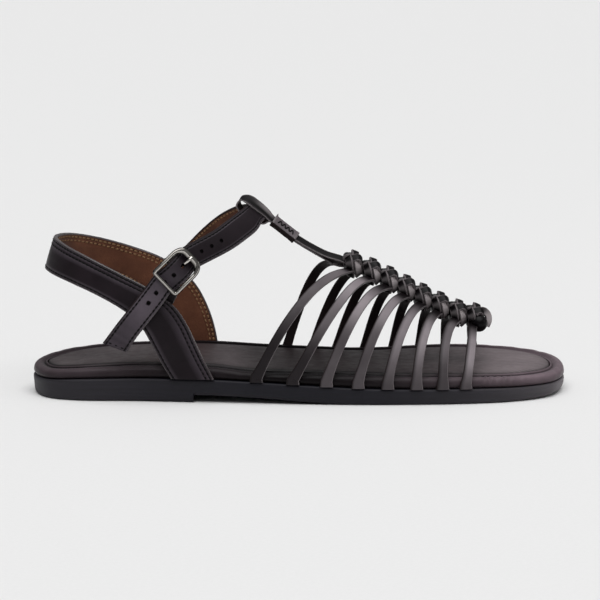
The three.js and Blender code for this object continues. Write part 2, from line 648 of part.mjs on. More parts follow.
function buckleFrame() {
  const shape = frameShape(0, THREE.Shape);
  shape.holes.push(frameShape(-BUCKLE.wire, THREE.Path));
  const options = { depth: BUCKLE.wire, bevelEnabled: false, curveSegments: 5 };
  const frame = new THREE.ExtrudeGeometry(shape, options);
  const inner = BUCKLE.width - BUCKLE.wire;
  const bar = new THREE.CylinderGeometry(BUCKLE.bar / 2, BUCKLE.bar / 2, inner, 10);
  // Each end of the bar hangs on a lug under the side of the frame.
  const drop = BUCKLE.barDrop;
  const lug = new THREE.BoxGeometry(BUCKLE.bar, BUCKLE.wire * 0.8, drop + BUCKLE.bar);
  const lugs = [-1, 1].map((s) => lug.clone().translate(0, (s * inner) / 2, -drop / 2));
  const pieces = [frame.translate(0, 0, -BUCKLE.wire / 2), bar.translate(0, 0, -drop), ...lugs];
  return join(pieces.map(buckleSolid));
}

const PIN_HOLE_U = 4.2; // the pin comes up through the strap here

// Round pin from an eye on the bar, up through the strap, to the rounded end of the frame.
function bucklePin() {
  const eye = BUCKLE.bar / 2 + GAP;
  const outer = eye + BUCKLE.pin * 0.75;
  const ringShape = new THREE.Shape().absarc(0, 0, outer, 0, 2 * Math.PI);
  ringShape.holes.push(new THREE.Path().absarc(0, 0, eye, 0, 2 * Math.PI));
  const options = { depth: BUCKLE.pin, bevelEnabled: false, curveSegments: 8 };
  const eyelet = new THREE.ExtrudeGeometry(ringShape, options);
  eyelet.rotateX(Math.PI / 2).translate(0, BUCKLE.pin / 2, -BUCKLE.barDrop);
  const top = BUCKLE.wire / 2 + GAP + BUCKLE.pin / 2;
  const run = new THREE.CatmullRomCurve3([
    new THREE.Vector3(outer - BUCKLE.pin / 2, 0, -BUCKLE.barDrop),
    new THREE.Vector3(PIN_HOLE_U - 0.6, 0, -1.6),
    new THREE.Vector3(PIN_HOLE_U + 0.5, 0, 0.2),
    new THREE.Vector3(buckleBars - 1.4, 0, top),
    new THREE.Vector3(buckleBars + 0.9, 0, top),
  ]);
  const section = new THREE.Shape().absarc(0, 0, BUCKLE.pin / 2, 0, 2 * Math.PI);
  const rod = new THREE.ExtrudeGeometry(section, { extrudePath: run, steps: 9, curveSegments: 4 });
  return join([eyelet, rod].map(buckleSolid));
}

// Leather tab folded over the buckle's bar and sewn inside the lateral heel strap.
const TAB = { width: 9.6, thickness: 0.8, tilt: THREE.MathUtils.degToRad(35) };
const TAB_FOOT = [
  { at: [-65.6, -33.6, 44.6], across: [-0.76, 0.02, 0.65] },
  { at: [-61, -34.1, 53], across: [-0.75, 0.02, 0.66] },
];

function buckleTab() {
  const wrap = BUCKLE.bar / 2 + GAP + TAB.thickness / 2;
  const bar = onBuckle(0, -BUCKLE.barDrop);
  const foldSteps = 6;
  const fold = Array.from({ length: foldSteps + 1 }, (_, j) => {
    const turn = TAB.tilt - Math.PI / 2 + (Math.PI * j) / foldSteps;
    return bar
      .clone()
      .addScaledVector(buckleU, wrap * Math.cos(turn))
      .addScaledVector(BUCKLE_OUT, wrap * Math.sin(turn));
  });
  const layer = TAB.thickness * 0.5 + 0.1;
  const foot = (side) =>
    TAB_FOOT.map((row) => ({
      middle: vec(row.at).addScaledVector(BUCKLE_OUT, side * layer),
      across: vec(row.across),
    }));
  const rows = [
    ...foot(-1),
    ...fold.map((middle) => ({ middle, across: buckleV })),
    ...foot(1).reverse(),
  ].map(({ middle, across }) => ({
    low: middle.clone().addScaledVector(across, -TAB.width / 2),
    high: middle.clone().addScaledVector(across, TAB.width / 2),
  }));
  const slot = new THREE.BoxGeometry(6.6, BUCKLE.pin + 3 * GAP, 7).translate(0.4, 0, -BUCKLE.barDrop);
  return solid(band(rows, TAB.thickness, 1)).subtract(buckleSolid(slot));
}

// Ankle strap, threaded under the buckle's ends and over its bar

function ankleRows() {
  const under = -(BUCKLE.wire + ANKLE.thickness) / 2 - 3 * GAP;
  const over = BUCKLE.bar / 2 - BUCKLE.barDrop + TAB.thickness + 2 * GAP + ANKLE.thickness / 2;
  const wave = [
    { u: buckleBars + 1, n: under },
    { u: buckleBars - 1.2, n: under },
    { u: 2, n: over },
    { u: -2, n: over },
    { u: 1.2 - buckleBars, n: under },
    { u: -buckleBars - 1, n: under },
  ].map((row) => ({ at: onBuckle(row.u, row.n).toArray(), across: buckleV.toArray() }));
  return [...MEDIAL_BRANCH, ...wave, ...TAIL].map((row) => ({
    low: vec(row.at).addScaledVector(vec(row.across), -ANKLE.width / 2),
    high: vec(row.at).addScaledVector(vec(row.across), ANKLE.width / 2),
  }));
}

const HOLES = { before: 4, after: 4 }; // holes on either side of the one with the pin

// Points along the middle of the strap at the pitch of the holes, counted from the pin's hole.
function holePlaces(rows) {
  const middles = rows.map((row) => row.low.clone().add(row.high).multiplyScalar(0.5));
  const curve = new THREE.CatmullRomCurve3(middles, false, "centripetal");
  curve.arcLengthDivisions = 800;
  const total = curve.getLength();
  const samples = Array.from({ length: 801 }, (_, i) => ({ u: i / 800, p: curve.getPointAt(i / 800) }));
  const pinAt = onBuckle(PIN_HOLE_U, 0);
  const nearest = samples.reduce((best, s) =>
    s.p.distanceTo(pinAt) < best.p.distanceTo(pinAt) ? s : best,
  );
  const places = [];
  for (let k = -HOLES.before; k <= HOLES.after; k++) {
    const u = nearest.u + (k * ANKLE.holePitch) / total;
    places.push({ point: curve.getPointAt(u), along: curve.getTangentAt(u), pin: k === 0 });
  }
  return places;
}

function ankleStrap() {
  const rows = ankleRows();
  const punches = holePlaces(rows).map(({ point, along, pin }) => {
    const near = rows.reduce((best, row) =>
      row.low.distanceTo(point) + row.high.distanceTo(point) <
      best.low.distanceTo(point) + best.high.distanceTo(point)
        ? row
        : best,
    );
    const across = near.high.clone().sub(near.low).normalize();
    const out = new THREE.Vector3().crossVectors(along, across).normalize();
    const radius = pin ? BUCKLE.pin / 2 + GAP : ANKLE.holeRadius;
    const side = new THREE.Vector3().crossVectors(out, along).normalize();
    const longer = pin ? 2.4 : 1; // the pin's hole is worn long
    const punch = new THREE.CylinderGeometry(radius, radius, 4 * ANKLE.thickness, 8).scale(longer, 1, 1);
    return solid(placed(punch, along, out, side.negate(), point));
  });
  const plain = solid(band(rows, ANKLE.thickness, 2));
  return punches.reduce((left, punch) => left.subtract(punch), plain);
}

// Assembly

const MATERIALS = {
  rubber: { color: 0x23242a, roughness: 0.6, metalness: 0 },
  bedLeather: { color: 0x3a2d2d, roughness: 0.45, metalness: 0 },
  insoleLeather: { color: 0x4d4644, roughness: 0.5, metalness: 0 },
  leather: { color: 0x2b2426, roughness: 0.45, metalness: 0 },
  metal: { color: 0x8d8b88, roughness: 0.22, metalness: 1 },
};

const sandal = new THREE.Group();

function add(name, shape, material) {
  const geometry = shape.isBufferGeometry ? geometryOf(solid(shape)) : geometryOf(shape);
  geometry.computeVertexNormals();
  const mesh = new THREE.Mesh(geometry, new THREE.MeshStandardMaterial(MATERIALS[material]));
  mesh.name = name;
  sandal.add(mesh);
}

add("outsole", outsole(), "rubber");
add("footbed", footbed(), "bedLeather");
add("insole", insole(), "insoleLeather");
add("upper", upper(), "leather");
add("t_bar_keeper", keeper(), "leather");
add("heel_strap", heelStrap(), "leather");
add("ankle_strap", ankleStrap(), "leather");
add("buckle_frame", buckleFrame(), "metal");
add("buckle_pin", bucklePin(), "metal");
add("buckle_tab", buckleTab(), "leather");

export default sandal;
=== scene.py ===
import math

import bpy
import numpy as np
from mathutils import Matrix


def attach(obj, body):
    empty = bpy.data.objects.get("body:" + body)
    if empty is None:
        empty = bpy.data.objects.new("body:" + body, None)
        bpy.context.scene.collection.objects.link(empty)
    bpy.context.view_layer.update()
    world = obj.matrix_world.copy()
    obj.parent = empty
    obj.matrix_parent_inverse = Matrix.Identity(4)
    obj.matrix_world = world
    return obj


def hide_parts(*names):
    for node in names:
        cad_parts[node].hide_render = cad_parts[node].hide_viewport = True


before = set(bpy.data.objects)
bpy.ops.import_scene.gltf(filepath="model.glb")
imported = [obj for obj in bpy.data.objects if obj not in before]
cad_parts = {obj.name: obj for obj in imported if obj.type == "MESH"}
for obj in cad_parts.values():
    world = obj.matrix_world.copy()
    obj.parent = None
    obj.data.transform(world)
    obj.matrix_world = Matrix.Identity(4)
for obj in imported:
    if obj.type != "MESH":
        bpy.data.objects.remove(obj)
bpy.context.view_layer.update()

BODY = "root"
METRES = 0.001


def table(names, *rows):
    """Rows of values as dictionaries with the named columns; a short row lacks the last ones."""
    return [dict(zip(names.split(), row)) for row in rows]


# Driving dimensions
LENGTH = 256.0
BALL_WIDTH = 92.0
HALF = LENGTH / 2
GAP = 0.3
BED_INSET = 1.0
INSOLE_INSET = 7.4
# Lift of the insole's edge above the crest of the rim.
INSOLE_LIFT = {"lateral": 1.0, "medial": -0.5}
BREAST_X = -50.0
# The heel's breast: half its step along the foot, and how far other points of the outline stay from it.
BREAST = {"half": 0.15, "clear": 0.4}
RIDGE_Y = -2.0
# Thin straps: their section, width at the foot as a share, and share of the length where that ends.
STRAP = {"width": 4.4, "thickness": 1.2, "corner": 0.3, "dome": 0.2, "flare": 1.4, "flare_end": 0.18}
# Upright foot of a strap: where it begins above the outsole, and its stations.
STRAP_STAND = {"above_seat": 0.2, "rows": 5}
# Knots: half their size, lift of their middle above the ridge, width of their strips, and how far a strip
# rises over one that it crosses, as a share.
KNOT = {"length": 3.9, "width": 5.2, "height": 5.4, "lift": 2.3, "strip": 3.8, "raise": 0.18}
# Strips of a knot: distance from its middle as a share of their width, and their section; rim is the width of
# the light colour along their edges, a painted highlight.
KNOT_STRIP = {"apart": 0.49, "corner": 0.24, "dome": 0.1, "rim": 0.3}
# Share of the ridge's slope that a knot follows, and its turns in degrees.
KNOT_TURN = {"slope": -0.45, "yaw": 2.0, "roll": 28.0}
# T-bar: its strip, distance of its two lanes from the keeper's axis, and straight run past the keeper.
T_BAR = {"width": 4.0, "thickness": 0.85, "lane": 0.5, "beyond": 1.0}
# Section of the T-bar's strip; rim is the width of the light colour along its edges, a painted highlight.
T_BAR_STRIP = {"corner": 0.26, "dome": 0.08, "rim": 0.4}
# Keeper: its middle, and its turns in degrees.
KEEPER = {"x": -7.4, "z": 77.3, "slope": -38.2, "roll": 40.0}
KEEPER_SIZE = {"length": 14.0, "width": 5.7, "height": 3.6, "wall": 0.45, "corner": 0.8, "bore_corner": 0.4}
HEEL_THICKNESS = 2.0
# Section of the heel strap and the ankle strap.
BAND = {"corner": 0.55, "dome": 0.1}
ANKLE = {"width": 11.2, "thickness": 2.0}
# Holes: the first and the last, counted from the pin's; floor is a pit's distance from the strap's middle.
HOLE = {"first": -4, "last": 4, "pitch": 6.1, "radius": 1.0, "sides": 20, "floor": 0.1, "pin_stretch": 2.2}
# Buckle: outside size, thickness of its wire, bar and pin, and how far the bar lies behind the frame.
BUCKLE = {"length": 18.6, "width": 16.2, "wire": 2.0, "bar": 1.7, "bar_drop": 3.4, "pin": 1.5}

# Outline of the outsole in plan, from the back of the heel along the lateral side: shares of the
# length and of the ball width.
OUTLINE = table(
    "at along across",
    ("heel back", 0, -0.085),
    ("lateral heel corner", 0.029, -0.304),
    ("lateral heel", 0.086, -0.387),
    ("lateral seat", 0.2, -0.405),
    ("lateral waist", 0.383, -0.462),
    ("lateral shank", 0.52, -0.495),
    ("lateral ball", 0.656, -0.505),
    ("little toe", 0.781, -0.486),
    ("lateral toe", 0.883, -0.43),
    ("lateral toe corner", 0.957, -0.315),
    ("lateral toe tip", 0.988, -0.175),
    ("toe tip", 1, 0.03),
    ("medial toe tip", 0.99, 0.21),
    ("medial toe corner", 0.963, 0.342),
    ("big toe", 0.91, 0.445),
    ("medial ball front", 0.844, 0.49),
    ("medial ball", 0.781, 0.493),
    ("medial ball rear", 0.715, 0.447),
    ("medial waist front", 0.617, 0.332),
    ("medial waist", 0.49, 0.25),
    ("medial shank", 0.375, 0.262),
    ("medial seat", 0.23, 0.302),
    ("medial heel", 0.11, 0.255),
    ("medial heel corner", 0.036, 0.132),
)

# Along the foot: height of the underside in front of the heel, of the outsole's top, and of the crest
# of the rolled rim on either side, and how far the rim stands in from the outsole's side.
PROFILE = table(
    "x floor seat lateral medial inset",
    (-128, 3, 9, 13.6, 15.6, 0.2),
    (-117, 3, 9.4, 14, 16.2, 0.4),
    (-102, 3, 10.4, 15.2, 17.2, 0.8),
    (-70, 3, 10.9, 16.5, 18.2, BED_INSET),
    (-45, 3.4, 11, 16.4, 18.7, BED_INSET),
    (-20, 2.6, 10.2, 14.3, 17.7, BED_INSET),
    (5, 0.9, 8.9, 13.9, 16.3, BED_INSET),
    (25, 0, 7.9, 13.4, 14.7, BED_INSET),
    (50, 0, 7.3, 12.7, 13.7, BED_INSET),
    (84, 0, 7.1, 12.1, 13.5, BED_INSET),
    (108, 0.5, 6.8, 11.6, 13, 0.5),
    (128, 1.4, 6.8, 11.6, 12.6, 0),
)
# Where the rim goes from its lateral to its medial height across the foot.
TILT = {"from": -30.0, "to": 15.0}

# Ridge of the last under the knots.
RIDGE = table(
    "x z",
    (-20, 78),
    (0, 67.5),
    (18, 59.8),
    (26, 57.4),
    (43, 49.8),
    (60, 41),
    (77, 33.4),
    (92, 29.5),
)

# Thin straps from the ankle to the toe: knot, foot and top on either side, and how late the lateral
# strap leans forward on its way up.
STRAPS = table(
    "knot lateral lateral_top lateral_lean medial medial_top",
    (24.8, -20.4, 26.3, 0.92, -7, 17.6),
    (33.6, -3.4, 35.8, 0.86, 5.6, 30.6),
    (41.9, 12.2, 44.2, 1.03, 17.4, 40),
    (50.1, 26.9, 52.4, 1.07, 31.6, 48.4),
    (58, 40.6, 60.2, 1.18, 46.2, 56.4),
    (66.4, 54, 67.9, 1.6, 60.2, 64.6),
    (75.2, 66.2, 76.6, 2.2, 73.6, 72),
    (84.6, 77, 83.2, 0.9, 87.6, 83.6),
)
MEDIAL_LEAN = 0.95

# Heel strap from its lateral foot round the heel to its medial foot.
HEEL_ROWS = table(
    "low high",
    ((-64.2, -38.3, 18), (-44.8, -39.9, 20.5)),
    ((-68.4, -38.1, 26), (-48.6, -38.9, 28.5)),
    ((-72.8, -37.6, 34), (-52.4, -38, 36.5)),
    ((-77.5, -37, 39.6), (-58.2, -37.3, 45)),
    ((-84.5, -35.8, 44.6), (-68, -36.3, 52.2)),
    ((-95, -33, 50), (-83.5, -34, 60.2)),
    ((-107, -27, 54.6), (-98, -28.8, 66.8)),
    ((-117.3, -16.5, 57.6), (-110.6, -18.6, 71.8)),
    ((-121.3, -5, 58.9), (-116.6, -5, 74.4)),
    ((-117.3, 7, 58.8), (-111.5, 8.6, 74.2)),
    ((-106.5, 17.6, 56.8), (-99.5, 18.4, 71.2)),
    ((-94.5, 23.8, 53), (-84.5, 24, 66.4)),
    ((-82.5, 27.3, 47), (-68.5, 26.8, 60)),
    ((-74.3, 28.8, 40.3), (-57.5, 28.5, 52.6)),
    ((-69, 29.2, 33), (-50.8, 28.8, 45)),
    ((-65, 29, 25), (-45.8, 28, 35.4)),
    ((-61.5, 28.4, 18.5), (-42.4, 26.9, 25.4)),
)
# Places of the heel strap's edges along the foot, at either of its ends.
HEEL_FOOT = {"low": -60.0, "high": -39.8}

# Ankle strap up to the buckle and after it: its middle, the direction across it, and what its lower
# edge has beyond the width.
MEDIAL_BRANCH = table(
    "at across lower",
    ((-73.5, 31.2, 43), (-0.68, -0.05, 0.73)),
    ((-63.5, 31.5, 51.8), (-0.69, -0.05, 0.72)),
    ((-54, 29.2, 60.3), (-0.7, -0.02, 0.71)),
    ((-44.5, 22.4, 70.3), (-0.72, 0, 0.69)),
    ((-35.5, 14, 78.4), (-0.75, 0, 0.66)),
    ((-27.5, 6.4, 83.4), (-0.78, 0, 0.62)),
    ((-23, 2, 85), (-0.8, 0, 0.6)),
    ((-21.2, -2.5, 85.5), (-0.8, 0, 0.6)),
    ((-22.6, -7, 84.5), (-0.79, 0, 0.61)),
    ((-25.7, -11.6, 82.4), (-0.76, 0, 0.65), 1.4),
    ((-30.4, -17.3, 79.4), (-0.72, 0, 0.69), 1.7),
    ((-37.2, -24.8, 75), (-0.67, -0.05, 0.74), 1.3),
)
TAIL = table(
    "at across lower",
    ((-67.3, -40.2, 51), (-0.76, 0.02, 0.65)),
    ((-73.5, -40, 43), (-0.78, 0.02, 0.62)),
    ((-80, -40, 34.8), (-0.79, 0.02, 0.61)),
    ((-86.6, -40, 26.5), (-0.92, 0.02, 0.34), 1.1),
)
# Middle of the buckle, directions out of it and along the strap, and place of the pin's hole along it.
BUCKLE_AT = np.array([-56.7, -41, 62.4])
BUCKLE_OUT = np.array([0.26, -0.96, 0.1])
BUCKLE_ALONG = np.array([0.7, 0.26, 0.68])
PIN_HOLE_U = 4.2
# Tab: its strip, its fold over the bar with half the gap between its layers, its slot for the pin, and
# its foot inside the heel strap.
TAB = {"width": 9.6, "thickness": 0.8, "corner": 0.25}
TAB_FOLD = {"tilt": math.radians(35), "rows": 13, "apart": 0.1}
TAB_SLOT = {"at": 0.4, "half": 3.3, "room": 1.5 * GAP, "deep": 3.5}
TAB_FOOT = table(
    "at across",
    ((-65.6, -33.6, 44.6), (-0.76, 0.02, 0.65)),
    ((-61, -34.1, 53), (-0.75, 0.02, 0.66)),
)


# Curves and vectors

def unit(v):
    v = np.asarray(v, float)
    return v / np.linalg.norm(v, axis=-1, keepdims=True)


def column(rows, name):
    return np.array([row[name] for row in rows], float)


def columns(rows, names):
    return np.stack([column(rows, name) for name in names.split()], axis=-1)


def smooth(rows, name, x):
    """Monotone cubic through one column of a table sorted by x."""
    xs, ys = column(rows, "x"), column(rows, name)
    x = np.clip(np.asarray(x, float), xs[0], xs[-1])
    rise = np.diff(ys) / np.diff(xs)
    product = rise[:-1] * rise[1:]
    total = rise[:-1] + rise[1:]
    inner = np.divide(2 * product, total, out=np.zeros_like(total), where=product > 0)
    slope = np.concatenate([[0], inner, [0]])
    i = np.clip(np.searchsorted(xs, x, side="right") - 1, 0, len(xs) - 2)
    h = xs[i + 1] - xs[i]
    t = (x - xs[i]) / h
    ends = ys[i] * (1 + 2 * t) * (1 - t) ** 2 + ys[i + 1] * t * t * (3 - 2 * t)
    return ends + h * (slope[i] * t * (1 - t) ** 2 - slope[i + 1] * t * t * (1 - t))


def through(points, per_segment, closed=False):
    """Centripetal Catmull-Rom curve through points, per_segment samples to a segment."""
    p = np.asarray(points, float)
    if closed:
        p = np.vstack([p[-1], p, p[0], p[1]])
    else:
        p = np.vstack([2 * p[0] - p[1], p, 2 * p[-1] - p[-2]])
    t = np.linspace(0, 1, per_segment, endpoint=False)[:, None]
    pieces = []
    for a, b, c, d in zip(p, p[1:], p[2:], p[3:]):
        before, here, after = (math.sqrt(np.linalg.norm(q - r)) for q, r in ((b, a), (c, b), (d, c)))
        enter = ((b - a) / before - (c - a) / (before + here) + (c - b) / here) * here
        leave = ((c - b) / here - (d - b) / (here + after) + (d - c) / after) * here
        cubic = 2 * (b - c) + enter + leave
        square = 3 * (c - b) - 2 * enter - leave
        pieces.append(b + enter * t + square * t**2 + cubic * t**3)
    if not closed:
        pieces.append(p[-2][None])
    return np.vstack(pieces)


def lengths(line):
    """Length along a line at each of its points."""
    steps = np.linalg.norm(np.diff(line, axis=0), axis=1)
    return np.concatenate([[0], np.cumsum(steps)])


def at_lengths(line, values, places):
    """values, given at the points of a line, read at places along its length."""
    s = lengths(line)
    return np.stack([np.interp(places, s, axis) for axis in np.asarray(values, float).T], axis=-1)


def tangents(line):
    return unit(np.gradient(line, axis=0))


def full_turn(sides):
    """Even angles round a circle."""
    return np.linspace(0, 2 * math.pi, sides, endpoint=False)


def step_between(low, high, x):
    """A smooth step from 0 at low to 1 at high."""
    t = np.clip((x - low) / (high - low), 0, 1)
    return t * t * (3 - 2 * t)


def hump(away):
    return np.exp(-(away**2))


def fold(away, beside):
    """A soft trough of depth 1, with a ridge half as high beside it."""
    return hump(away) - 0.5 * hump(away - beside)


# Meshes

def mesh_object(name, points, faces, materials, face_materials=None, attributes=None, sharp=60):
    """A smooth shaded piece from points in millimetres, which rides on the sandal's body."""
    mesh = bpy.data.meshes.new(name)
    mesh.from_pydata((np.asarray(points) * METRES).tolist(), [], [list(map(int, f)) for f in faces])
    for material in materials:
        mesh.materials.append(material)
    if face_materials is not None:
        mesh.polygons.foreach_set("material_index", np.asarray(face_materials, np.int32))
    for label, values in (attributes or {}).items():
        layer = mesh.attributes.new(label, "FLOAT", "POINT")
        layer.data.foreach_set("value", np.asarray(values, np.float32))
    mesh.polygons.foreach_set("use_smooth", np.ones(len(mesh.polygons), bool))
    mesh.validate()
    mesh.set_sharp_from_angle(angle=math.radians(sharp))
    piece = bpy.data.objects.new(name, mesh)
    bpy.context.scene.collection.objects.link(piece)
    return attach(piece, BODY)


def grid_faces(rows, sides, closed=False):
    """Quads between rows of points, each row a ring; closed joins the last row to the first."""
    total = rows * sides
    faces = []
    for r in range(rows if closed else rows - 1):
        for c in range(sides):
            a, b = r * sides + c, r * sides + (c + 1) % sides
            faces.append((a, b, (b + sides) % total, (a + sides) % total))
    return faces


def tube_faces(rows, sides):
    """Faces of a tube of rows of points, with its ends closed."""
    ends = [tuple(range(sides))[::-1], tuple(range((rows - 1) * sides, rows * sides))]
    return grid_faces(rows, sides) + ends


def ladder_faces(start, count, up):
    """Quads from side to side of a ring that runs heel, lateral side, toe, medial side."""
    half = count // 2
    faces = [(0, 1, count - 1)]
    faces += [(k, k + 1, count - k - 1, count - k) for k in range(1, half - 1)]
    faces.append((half - 1, half, half + 1))
    return [tuple(start + i for i in (f if up else f[::-1])) for f in faces]


class Parts:
    """Collects points and faces of many small shapes that become one piece."""

    def __init__(self):
        self.points, self.faces, self.zones, self.edge, self.worn = [], [], [], [], []
        self.count = 0

    # Each point carries a share of its piece's edge colour, and a share of painted light: how far it is
    # painted paler as a highlight or sheen.
    def add(self, points, faces, zones=None, edge=None, worn=None):
        none = np.zeros(len(points))
        self.faces += [tuple(i + self.count for i in f) for f in faces]
        self.points.append(points)
        self.zones += [0] * len(faces) if zones is None else list(zones)
        self.edge.append(none if edge is None else edge)
        self.worn.append(none if worn is None else worn)
        self.count += len(points)

    def piece(self, name, materials):
        attributes = {"edge": np.concatenate(self.edge), "worn": np.concatenate(self.worn)}
        return mesh_object(name, np.vstack(self.points), self.faces, materials, self.zones, attributes)


# Strips: a section carried along stations

OUTER, EDGE, INNER, SHADED = range(4)
UPPER, LOWER = 1, -1
# Groove under a row of stitches: place across it, depth, and share of dark colour, painted shade in its bed,
# or below 0 of a lighter colour, a painted highlight on its lips.
GROOVE = table(
    "step down tone",
    (-0.5, 0, -0.5),
    (-0.2, 0.16, 0.75),
    (0.2, 0.16, 0.75),
    (0.5, 0, -0.5),
)
# Places across a strip's face where its dome is drawn, as shares of half its width.
DOME_AT = (-0.6, -0.2, 0.2, 0.6)
# Half width by which the points of a face are put in order.
NOMINAL_HALF = 6.0
EDGE_TURNS = np.radians([0, 30, 60, 90])
# Rounded end of a strip: how far its last section moves in, and the size of the cap outside it.
ROUND_END = {"inward": 0.3, "cap": 0.92}


def strip_section(thickness, corner, dome=0.0, grooves=(), inner_grooves=(), dark_side=0):
    """Rows (share, shift, height, zone, tone) round a strip: across it a point lies at share half widths
    plus shift. grooves are (side, distance from that edge); tone is painted shade in their beds and, below 0,
    a painted highlight on their lips. The edge on dark_side is a shaded copy, painted dark as shade."""
    h = thickness / 2

    def face(sign, marks, swell):
        rows = [(-1, corner, h, 0), (1, -corner, h, 0)]
        rows += [(s, 0, h + (1 - s * s) * swell, 0) for s in DOME_AT]
        for side, distance in marks:
            for row in GROOVE:
                rows.append((side, -side * (distance + row["step"]), h - row["down"], row["tone"]))
        rows.sort(key=lambda row: row[0] * NOMINAL_HALF + row[1])
        zone = OUTER if sign > 0 else INNER
        return [(a, b, sign * c, zone, d) for a, b, c, d in (rows if sign > 0 else rows[::-1])]

    def edge(side):
        upper = [(side * corner * (math.sin(a) - 1), h - corner * (1 - math.cos(a))) for a in EDGE_TURNS]
        lower = [(shift, -height) for shift, height in upper[::-1]]
        zone = SHADED if side == dark_side else EDGE
        rows = [(side, shift, height, zone, 0) for shift, height in upper + lower]
        return rows if side > 0 else rows[::-1]

    return face(1, grooves, dome)[:-1] + edge(1)[:-1] + face(-1, inner_grooves, 0)[:-1] + edge(-1)[:-1]


def sideways(section, half):
    """How far the points of a section lie across a strip at each of its stations."""
    share, shift = (np.array(values, float) for values in list(zip(*section))[:2])
    return share[None] * half[:, None] + shift[None]


def strip_mesh(centre, across, normal, half, section, rounded=False, rim=0.7):
    """Points, faces, zones and edge shares of a strip through stations; rim is the width of its edges."""
    height, zone, tone = (np.array(values, float) for values in list(zip(*section))[2:])
    side = sideways(section, half)
    points = centre[:, None] + across[:, None] * side[..., None]
    points = points + normal[:, None] * height[None, :, None]
    # Edge colour at the rims, and painted shade in the beds of grooves.
    edge = np.maximum(np.clip(1 - (half[:, None] - np.abs(side)) / rim, 0, 1), np.maximum(tone, 0))
    if rounded:
        along = tangents(centre)
        for end, sign in ((0, 1), (-1, -1)):
            cap = centre[end] + (points[end] - centre[end]) * ROUND_END["cap"]
            points[end] = points[end] + along[end] * sign * ROUND_END["inward"]
            pairs = ((cap[None], points), (np.ones((1, len(cap))), edge))
            points, edge = (np.concatenate(pair if sign > 0 else pair[::-1]) for pair in pairs)
    rows, sides = points.shape[:2]
    zones = np.tile(zone.astype(int), rows - 1).tolist() + [EDGE, EDGE]
    return points.reshape(-1, 3), tube_faces(rows, sides), zones, edge.ravel()


def path_frames(points, normals):
    """Unit vectors across a path and out of it, from rough normals."""
    along = tangents(points)
    across = unit(np.cross(along, normals))
    return across, unit(np.cross(across, along))


def band_frames(low, high, per_row):
    """Stations of a band between two edges, its normal to the outside of the shoe."""
    low, high = through(low, per_row), through(high, per_row)
    middle = (low + high) / 2
    across = unit(high - low)
    return {
        "centre": middle,
        "across": across,
        "normal": unit(np.cross(across, tangents(middle))),
        "half": np.linalg.norm(high - low, axis=1) / 2,
    }


# Stitches

STITCH = {"pitch": 2.3, "length": 1.75, "width": 0.8, "height": 0.42, "sides": 6, "drop": 1.6, "bend": 2.2}
# Rings of a stitch of unit size: place along it, and swell.
STITCH_RINGS = table(
    "x swell",
    (-0.5, 0.35),
    (-0.38, 0.85),
    (-0.12, 1),
    (0.12, 1),
    (0.38, 0.85),
    (0.5, 0.35),
)


def capsule():
    """A stitch of unit length, width and height: higher in its middle, with its ends in the leather."""
    points = []
    for row in STITCH_RINGS:
        radius = 0.5 * row["swell"]
        down = STITCH["drop"] * abs(row["x"]) ** STITCH["bend"]
        for turn in full_turn(STITCH["sides"]):
            points.append((row["x"], radius * math.cos(turn), radius * math.sin(turn) - down))
    return np.array(points), tube_faces(len(STITCH_RINGS), STITCH["sides"])


def add_stitches(parts, line, normals):
    """A row of stitches along a line on a surface."""
    total = lengths(line)[-1]
    count = max(1, int(total / STITCH["pitch"]))
    places = (np.arange(count) + 0.5) * total / count
    middles, alongs, outs = (at_lengths(line, values, places) for values in (line, tangents(line), normals))
    add_stitches_at(parts, middles, alongs, outs, STITCH["length"])


def add_stitches_at(parts, middles, alongs, normals, length):
    shape, faces = capsule()
    shape = shape * [length, STITCH["width"], STITCH["height"]]
    for middle, along, normal in zip(middles, unit(alongs), unit(normals)):
        side = unit(np.cross(normal, along))
        parts.add(middle + shape @ np.stack([along, side, np.cross(along, side)]), faces)


def band_line(band, side, distance, height):
    """Line on a band at a distance from one edge, and its normals."""
    across = side * (band["half"] - distance)
    line = band["centre"] + band["across"] * across[:, None] + band["normal"] * height
    return line, band["normal"] * np.sign(height)


# Materials

# Places of the mix node's colour sockets.
MIX_COLOURS = (6, 7)
MIX_RESULT = 2


